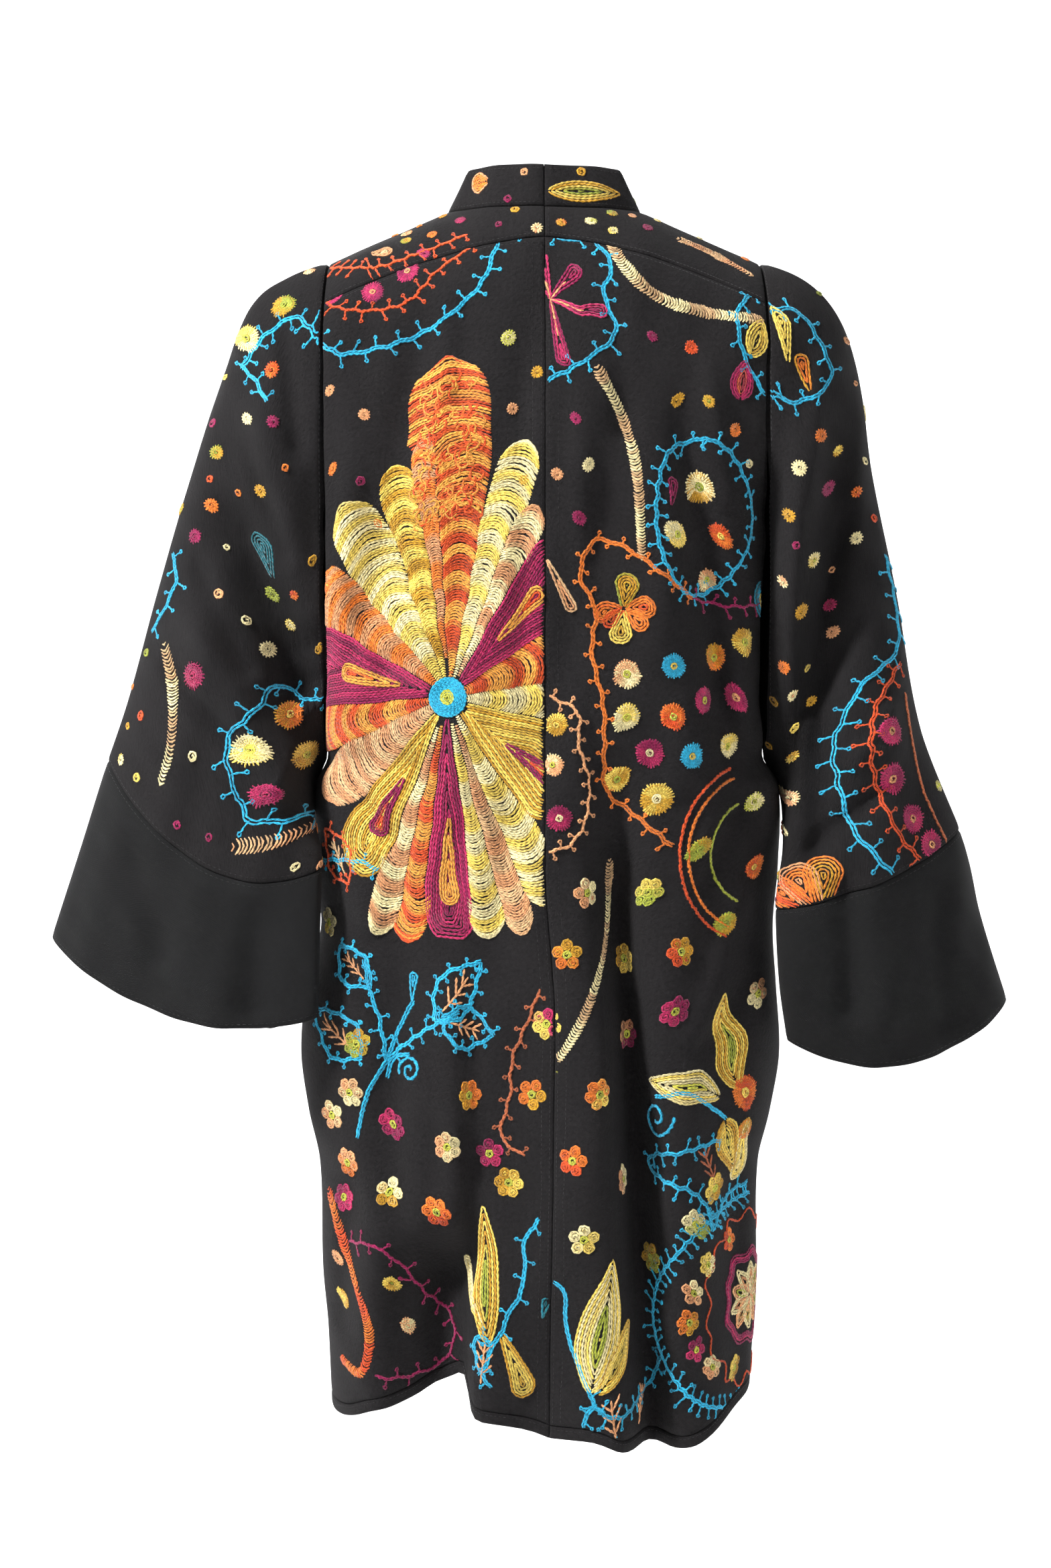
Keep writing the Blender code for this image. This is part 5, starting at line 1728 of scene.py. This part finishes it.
def stitch_sleeve_left(work):
    """The left sleeve, seen from behind."""
    vine = [(-23.8, 12.6), (-22.2, 10.6), (-20.9, 9.6), (-19.2, 8.9), (-17.4, 10.6)]
    work.stem(vine, "blue", thorns=0.013)
    work.stem([(-24.0, 12.2), (-22.6, 13.6), (-21.6, 15.4)], "blue", thorns=0.013)
    vine = [(-29.9, 26.9), (-29.4, 29.0), (-30.4, 31.4), (-31.7, 33.2)]
    work.stem(vine, "blue", thorns=0.015, thorn=0.008)
    work.branch([(-30.4, 34.1), (-29.6, 37.8), (-29.6, 41.6), (-30.6, 45.3)], 1.0, ("beige", "cream"))
    loop = [(-17.0, 38.4), (-19.0, 38.6), (-21.2, 37.4), (-22.6, 39.3), (-24.8, 41.3), (-24.9, 43.5)]
    loop += [(-24.4, 45.6), (-23.2, 48.0), (-20.8, 48.0), (-17.6, 47.4)]
    work.stem(loop, "blue", thorns=0.014, thorn=0.007)
    work.branch([(-24.6, 50.1), (-21.2, 49.6), (-17.8, 48.3)], 1.0, ("beige", "peach"))
    work.dots(
        (-23.4, 10.2, 1.15, "yellow", "cream", "lime"),
        (-20.3, 7.8, 1.0, "gold", "olive"),
        (-21.2, 12.9, 0.6, "orange", "red"),
        (-20.2, 39.7, 1.1, "orange", "gold", "yellow"),
        (-23.1, 42.4, 1.2, "cream", "yellow", "lime"),
        (-19.0, 43.0, 1.1, "gold", "yellow", "lime"),
        (-21.8, 45.9, 0.9, "magenta", "pink"),
        (-27.7, 36.6, 0.9, "magenta", "pink"),
        (-21.9, 34.6, 0.6, "cream"),
        (-21.6, 30.2, 0.6, "olive"),
        (-25.7, 30.2, 0.4, "peach"),
        (-27.8, 25.6, 0.55, "magenta"),
        (-26.4, 23.2, 0.55, "orange"),
        (-22.2, 22.2, 0.5, "gold"),
        (-26.0, 19.0, 0.6, "gold", "olive"),
        (-23.2, 16.6, 0.5, "cream"),
        (-21.0, 17.0, 0.5, "magenta"),
    )
    work.leaf(-21.4, 29.0, 342, 3.2, 1.8, ("teal", "teal"))
    work.strew(34, (0.0028, 0.0052))


def stitch_sleeve_right(work):
    """The right sleeve, seen from behind."""
    vine = [(27.2, 27.0), (28.0, 31.0), (27.9, 34.7), (24.8, 37.4), (22.8, 41.6), (23.0, 45.0)]
    work.stem(vine + [(24.0, 48.4), (25.6, 50.4), (27.1, 52.0)], "blue", thorns=0.015, thorn=0.008)
    inner = [(28.3, 35.6), (27.0, 37.4), (25.7, 39.6), (25.4, 42.8), (26.4, 46.4), (28.0, 49.4)]
    work.stem(inner + [(29.6, 51.0)], "red", rows=2, thorns=0.012)
    for x, y in ((27.1, 40.9), (27.3, 44.7), (29.0, 47.9), (30.6, 50.0)):
        work.dots((x, y, 1.05, "magenta", "pink", "peach"))
    work.stem([(28.6, 38.0), (29.2, 42.0), (30.2, 46.0), (32.2, 50.2)], "brown")
    for turn, yarns in ((300, ("orange", "red")), (330, ("peach", "orange")), (0, ("orange", "gold"))):
        work.leaf(21.6, 55.2, turn, 4.2, 2.6, yarns)
    loop = [(17.4, 8.2), (19.6, 8.4), (21.2, 10.4), (22.3, 13.3), (20.8, 15.0), (18.8, 15.4), (17.4, 14.4)]
    work.stem(loop, "blue", thorns=0.014)
    work.leaf(18.8, 12.4, 348, 3.4, 1.6, ("gold", "yellow"))
    work.leaf(20.6, 14.6, 340, 2.8, 1.3, ("orange", "gold"))
    work.dots(
        (21.4, 18.0, 0.55, "orange"),
        (19.6, 20.6, 0.6, "cream"),
        (22.2, 22.0, 0.6, "magenta"),
        (18.9, 24.2, 0.5, "gold"),
        (24.6, 25.8, 0.5, "cream"),
        (21.0, 27.6, 0.6, "yellow", "cream", "lime"),
        (20.0, 31.6, 0.6, "gold"),
        (22.8, 33.2, 0.5, "peach"),
        (18.8, 36.0, 0.5, "orange"),
        (19.4, 46.4, 0.7, "peach", "cream"),
    )
    work.strew(34, (0.0028, 0.0052))


def on_side(side, *points):
    """Places given for the right side, on this side."""
    return [(side * x, y, *rest) for x, y, *rest in points]


def stitch_front(work, side):
    """A front, which the photo doesn't show: the back's kinds of motif in a place of their own."""
    vine = on_side(side, (7.4, 8.0), (10.2, 12.0), (9.4, 17.0), (12.0, 21.0), (15.8, 22.4))
    work.stem(vine, "blue", thorns=0.015, thorn=0.008)
    work.stem(on_side(side, (15.6, 6.6), (12.8, 10.2), (13.2, 15.4), (16.2, 18.6)), "red", thorns=0.013)
    for k, turn in enumerate(range(0, 360, 30)):
        yarns = PAIRS[(k * 2 + (side > 0)) % len(PAIRS)]
        work.leaf(side * 11.2, 33.2, turn, 6.2 + (k % 3), 3.0, yarns, foot=1.0)
    work.dots((side * 11.2, 33.2, 1.2, "blue", "blue", "lime"))
    work.branch(on_side(side, (8.0, 44.0), (10.0, 48.0), (10.6, 54.0)), 1.0, ("beige", "peach"))
    work.stem(on_side(side, (12.4, 72.0), (11.6, 68.0), (12.2, 63.0), (13.6, 58.0)), "blue", thorns=0.016)
    for x, y, turn, long in ((11.7, 68.0, -50, 5.6), (12.2, 65.0, 48, 5.8), (12.6, 61.0, -44, 5.0)):
        work.leaf_outline(side * x, y, side * turn, long, 3.2, "blue", "peach")
    work.curl_at(side * 9.2, 72.6, 1.5, 1.5, 60, "blue")
    for turn, long, wide, yarns in (
        (-24, 8.4, 3.0, ("gold", "yellow", "olive")),
        (16, 8.8, 3.2, ("cream", "yellow", "olive")),
        (54, 5.8, 2.2, ("gold", "yellow")),
    ):
        work.leaf(side * 11.0, 90.4, side * turn, long, wide, yarns, 0.06 * side)
    work.stem(on_side(side, (11.0, 90.4), (12.6, 92.6), (15.0, 92.0)), "blue", thorns=0.013)
    work.twig_at(side * 10.6, 94.0, side * 20, 3.0, "peach")
    places = on_side(side, (8.6, 50.0), (13.4, 52.0), (15.6, 66.4), (8.4, 62.0), (15.0, 76.0), (8.2, 79.4))
    places += on_side(side, (12.2, 81.0))
    work.flowers([(*place, *pair) for place, pair in zip(places, PAIRS)])
    dots = (
        (8.6, 23.4, 0.9, "gold", "orange", "lime"),
        (14.6, 26.4, 0.9, "magenta", "pink", "peach"),
        (14.6, 43.6, 1.0, "cream", "yellow", "lime"),
        (12.4, 46.6, 0.9, "magenta", "pink", "cream"),
        (15.0, 48.2, 0.9, "blue", "blue", "yellow"),
    )
    work.dots(*on_side(side, *dots))
    work.strew(26, (0.0028, 0.0055))


def stitch_sleeve_front(work, side):
    """A sleeve's front face, in the manner of its back."""
    vine = on_side(side, (19.0, 10.0), (21.4, 14.0), (20.4, 19.0), (23.4, 23.0), (26.0, 24.0))
    work.stem(vine, "blue", thorns=0.015)
    vine = on_side(side, (20.6, 33.4), (23.6, 35.4), (24.0, 39.6), (21.4, 43.0), (21.8, 47.0))
    work.stem(vine, "red", thorns=0.013)
    work.branch(on_side(side, (27.6, 31.0), (28.6, 35.0), (28.2, 40.0)), 1.0, ("beige", "peach"))
    for turn in range(0, 360, 45):
        work.leaf(side * 22.4, 28.4, turn, 3.2, 1.7, PAIRS[turn // 45], foot=0.6)
    dots = (
        (22.4, 28.4, 0.8, "blue", "blue", "lime"),
        (25.6, 38.0, 1.0, "magenta", "pink", "peach"),
        (25.2, 42.6, 1.0, "gold", "yellow", "lime"),
        (20.6, 39.0, 0.9, "cream", "yellow", "lime"),
        (24.0, 18.0, 0.8, "orange", "red", "yellow"),
    )
    work.dots(*on_side(side, *dots))
    work.strew(26, (0.0028, 0.0055))


def stitch_neckband(work):
    """The band behind the neck: pieces of leaves that were cut through when it was made."""
    if work.node.endswith("right"):
        work.leaf(0.2, -1.2, 178, 6.6, 1.9, ("yellow", "gold", "olive"), 0.03)
        work.leaf(7.0, -1.6, 175, 4.2, 2.2, ("yellow", "olive", "olive"))
        work.dots((2.9, -2.9, 0.4, "gold"))
    else:
        work.leaf(-4.4, -2.2, 176, 2.0, 2.0, ("peach", "orange"))
        work.dots((-2.9, -0.6, 0.35, "magenta"), (-1.6, -2.7, 0.35, "peach"))


def stitch_band_front(work, side):
    """The neckband where it runs down a front edge."""
    for y in (20, 44, 68, 88):
        work.leaf(side * 4.6, y, -18 * side, 6.2, 1.9, PAIRS[y % 5], 0.08)
    for y in (11, 31, 54, 79):
        work.stem([(side * 3.2, y), (side * 5.2, y + 2.4), (side * 4.0, y + 6.0)], "blue", thorns=0.013)
    work.strew(30, (0.0028, 0.0048), 0.16)


# The lines of small stitches beside the seams: along rows or columns, from which edge, how far in.
TOPSTITCHES = {
    "back": ((COLUMNS, 0, 0.003), (COLUMNS, 0, 0.010), (ROWS, 0, 0.004)),
    "yoke": ((COLUMNS, 0, 0.003), (ROWS, -1, 0.003)),
    "front": ((COLUMNS, 0, 0.003),),
    "sleeve": ((ROWS, 0, 0.003), (ROWS, -1, 0.003)),
    "cuff": ((ROWS, 0, 0.003), (ROWS, -1, 0.004)),
    "neckband": ((COLUMNS, 0, 0.003), (COLUMNS, -1, 0.004)),
    "hem": ((ROWS, 0, 0.0025),),
}


def stitch(node, *drawings):
    """All the needlework of one piece of cloth, as one mesh on it."""
    work = Needlework(node, len(node))
    for draw in drawings:
        draw(work)
    for line in TOPSTITCHES[node.split("_")[0]]:
        work.topstitch(*line)
    work.make(finish_named("Chain-stitched wool yarn", yarn_finish))


def in_front(draw, *how):
    """A drawing on the cloth's front face."""

    def drawn(work):
        work.in_front = True
        draw(work, *how)

    return drawn


def make_named(prefix):
    """Every piece whose node's name starts so, left and right."""
    for node in [n for n in CLOTHS if n.startswith(prefix)]:
        if node.startswith("cuff"):
            material = finish_named("Black twill", twill_finish)
        else:
            material = finish_named("Napped black wool", wool_finish)
        make_piece(node, material)


class JACKET_OT_cut(bpy.types.Operator):
    """Work out the fine form of every piece of cloth"""

    bl_idname = "jacket.cut"
    bl_label = "Cut the cloth"

    def execute(self, context):
        cut_cloths(context.scene.jacket_sizes)
        return {"FINISHED"}


class JACKET_OT_backs(bpy.types.Operator):
    """Make the two back panels"""

    bl_idname = "jacket.backs"
    bl_label = "Backs"

    def execute(self, context):
        make_named("back")
        return {"FINISHED"}


class JACKET_OT_yokes(bpy.types.Operator):
    """Make the shoulder pieces behind the ridge"""

    bl_idname = "jacket.yokes"
    bl_label = "Yokes"

    def execute(self, context):
        make_named("yoke")
        return {"FINISHED"}


class JACKET_OT_fronts(bpy.types.Operator):
    """Make the two open fronts"""

    bl_idname = "jacket.fronts"
    bl_label = "Fronts"

    def execute(self, context):
        make_named("front")
        return {"FINISHED"}


class JACKET_OT_sleeves(bpy.types.Operator):
    """Make the two sleeves"""

    bl_idname = "jacket.sleeves"
    bl_label = "Sleeves"

    def execute(self, context):
        make_named("sleeve")
        return {"FINISHED"}


class JACKET_OT_cuffs(bpy.types.Operator):
    """Make the twill cuffs"""

    bl_idname = "jacket.cuffs"
    bl_label = "Cuffs"

    def execute(self, context):
        make_named("cuff")
        return {"FINISHED"}


class JACKET_OT_neckband(bpy.types.Operator):
    """Make the doubled neckband"""

    bl_idname = "jacket.neckband"
    bl_label = "Neckband"

    def execute(self, context):
        make_named("neckband")
        return {"FINISHED"}


class JACKET_OT_hem(bpy.types.Operator):
    """Make the bound hem"""

    bl_idname = "jacket.hem"
    bl_label = "Hem"

    def execute(self, context):
        make_named("hem")
        return {"FINISHED"}


class JACKET_OT_back_stitches(bpy.types.Operator):
    """Embroider the backs and the yokes"""

    bl_idname = "jacket.back_stitches"
    bl_label = "Embroider the backs"

    def execute(self, context):
        stitch("back_left", stitch_back_left)
        stitch("back_right", stitch_back_right)
        stitch("yoke_left", stitch_yokes)
        stitch("yoke_right", stitch_yokes)
        return {"FINISHED"}


class JACKET_OT_sleeve_stitches(bpy.types.Operator):
    """Embroider both faces of the sleeves"""

    bl_idname = "jacket.sleeve_stitches"
    bl_label = "Embroider the sleeves"

    def execute(self, context):
        stitch("sleeve_left", stitch_sleeve_left, in_front(stitch_sleeve_front, LEFT))
        stitch("sleeve_right", stitch_sleeve_right, in_front(stitch_sleeve_front, RIGHT))
        return {"FINISHED"}


class JACKET_OT_front_stitches(bpy.types.Operator):
    """Embroider the fronts and the neckband"""

    bl_idname = "jacket.front_stitches"
    bl_label = "Embroider the fronts"

    def execute(self, context):
        for side, word in SIDES:
            stitch(f"front_{word}", in_front(stitch_front, side))
            stitch(f"neckband_{word}", stitch_neckband, in_front(stitch_band_front, side))
        return {"FINISHED"}


class JACKET_OT_topstitching(bpy.types.Operator):
    """Topstitch the cuffs and the hem"""

    bl_idname = "jacket.topstitching"
    bl_label = "Topstitching"

    def execute(self, context):
        for node in [n for n in CLOTHS if n.startswith(("cuff", "hem"))]:
            stitch(node)
        return {"FINISHED"}


FLOOR_Z = -1.42
FLOOR_FLAT = 4.0
FLOOR_BEND = 2.0
CAMERA_PLACE = (0.015, 1.95, -0.32)
CAMERA_DOWN = 4  # degrees
IMAGE_HEIGHT = 2339
FOCAL_PIXELS = 3570

ROOM_LIGHT = 0.25
# Soft lamps: place, what they face, width and power.
Lamp = namedtuple("Lamp", "name place faces width power")
LAMPS = (
    Lamp("Key", (2.0, 1.3, 1.8), (0.0, 0.1, -0.45), 0.5, 235),
    Lamp("Fill", (-2.0, 2.5, 0.3), (0.0, 0.0, -0.5), 1.6, 24),
    Lamp("Front", (0.8, -2.6, 1.2), (0.0, 0.0, -0.5), 1.6, 70),
    Lamp("Wall left", (2.6, -2.0, 0.6), (1.5, -6.0, -0.4), 2.5, 160),
    Lamp("Wall right", (-2.6, -2.0, 0.6), (-1.5, -6.0, -0.4), 2.5, 160),
)


class JACKET_OT_stage(bpy.types.Operator):
    """Set the pale floor, the soft lamps and the camera"""

    bl_idname = "jacket.stage"
    bl_label = "Stage"

    def execute(self, context):
        scene = context.scene
        scene.view_settings.view_transform = "Standard"
        turn = np.linspace(0, 2 * pi, 97)[:-1]
        profile = [(0.0, 0.0), (2.0, 0.0), (FLOOR_FLAT, 0.0)]
        for a in np.linspace(0.15, pi / 2, 14):
            profile.append((FLOOR_FLAT + FLOOR_BEND * np.sin(a), FLOOR_BEND - FLOOR_BEND * np.cos(a)))
        profile += [(FLOOR_FLAT + FLOOR_BEND, 3.5), (FLOOR_FLAT + FLOOR_BEND, 6.0)]
        out, up = np.array(profile).T[..., None]
        ring = vec(out * np.cos(turn), out * np.sin(turn), FLOOR_Z + up)
        count = len(turn)
        corner = np.arange(len(profile) * count).reshape(len(profile), count)
        following = np.roll(corner, -1, axis=1)
        faces = np.stack((corner[:-1], following[:-1], following[1:], corner[1:]), axis=-1)
        pale = Finish("Pale floor", "Floor", Roughness=0.9, Specular_IOR_Level=0.2)
        tone = pale.noise(pale.add("ShaderNodeTexCoord").outputs[3], 3.0, 3)
        grey = pale.between(tone, (0.86, 0.86, 0.86), (0.90, 0.90, 0.90))
        pale.set(pale.shader.inputs["Base Color"], grey)
        floor = make_object("floor", ring.reshape(-1, 3), faces.reshape(-1, 4), pale.material)
        world = bpy.data.worlds.new("Soft room")
        world.use_nodes = True
        sky = world.node_tree.nodes["Background"]
        sky.inputs["Color"].default_value = (1, 1, 1, 1)
        sky.inputs["Strength"].default_value = ROOM_LIGHT
        scene.world = world
        for lamp in LAMPS:
            light = bpy.data.lights.new(lamp.name, "AREA")
            light.size = lamp.width
            light.energy = lamp.power
            holder = bpy.data.objects.new(lamp.name, light)
            holder.location = lamp.place
            aim = Vector(lamp.faces) - Vector(lamp.place)
            holder.rotation_euler = aim.to_track_quat("-Z", "Y").to_euler()
            scene.collection.objects.link(holder)
        camera = bpy.data.cameras.new("Camera")
        camera.sensor_fit = "VERTICAL"
        camera.sensor_height = 36
        camera.lens = camera.sensor_height * FOCAL_PIXELS / IMAGE_HEIGHT
        holder = bpy.data.objects.new("Camera", camera)
        holder.location = CAMERA_PLACE
        holder.rotation_euler = (radians(90 - CAMERA_DOWN), 0, radians(180))
        scene.collection.objects.link(holder)
        scene.camera = holder
        return {"FINISHED"}


OPERATORS = (
    JACKET_OT_cut,
    JACKET_OT_backs,
    JACKET_OT_yokes,
    JACKET_OT_fronts,
    JACKET_OT_sleeves,
    JACKET_OT_cuffs,
    JACKET_OT_neckband,
    JACKET_OT_hem,
    JACKET_OT_back_stitches,
    JACKET_OT_sleeve_stitches,
    JACKET_OT_front_stitches,
    JACKET_OT_topstitching,
    JACKET_OT_stage,
)


class JACKET_PT_sidebar(bpy.types.Panel):
    """The jacket's sizes, colours and pieces"""

    bl_label = "Embroidered jacket"
    bl_idname = "JACKET_PT_sidebar"
    bl_space_type = "VIEW_3D"
    bl_region_type = "UI"
    bl_category = "Jacket"

    def draw(self, context):
        scene = context.scene
        for group in (scene.jacket_sizes, scene.jacket_looks, scene.jacket_yarns):
            box = self.layout.box()
            for name in group.__annotations__:
                box.prop(group, name)
        for operator in OPERATORS:
            self.layout.operator(operator.bl_idname)


CLASSES = (JacketSizes, JacketLooks, JacketYarns, *OPERATORS, JACKET_PT_sidebar)


def register():
    for kind in CLASSES:
        bpy.utils.register_class(kind)
    bpy.types.Scene.jacket_sizes = PointerProperty(type=JacketSizes)
    bpy.types.Scene.jacket_looks = PointerProperty(type=JacketLooks)
    bpy.types.Scene.jacket_yarns = PointerProperty(type=JacketYarns)


def unregister():
    del bpy.types.Scene.jacket_yarns
    del bpy.types.Scene.jacket_looks
    del bpy.types.Scene.jacket_sizes
    for kind in reversed(CLASSES):
        bpy.utils.unregister_class(kind)


def main():
    register()
    for operator in OPERATORS:
        family, name = operator.bl_idname.split(".")
        getattr(getattr(bpy.ops, family), name)()


if __name__ == "__main__":
    main()
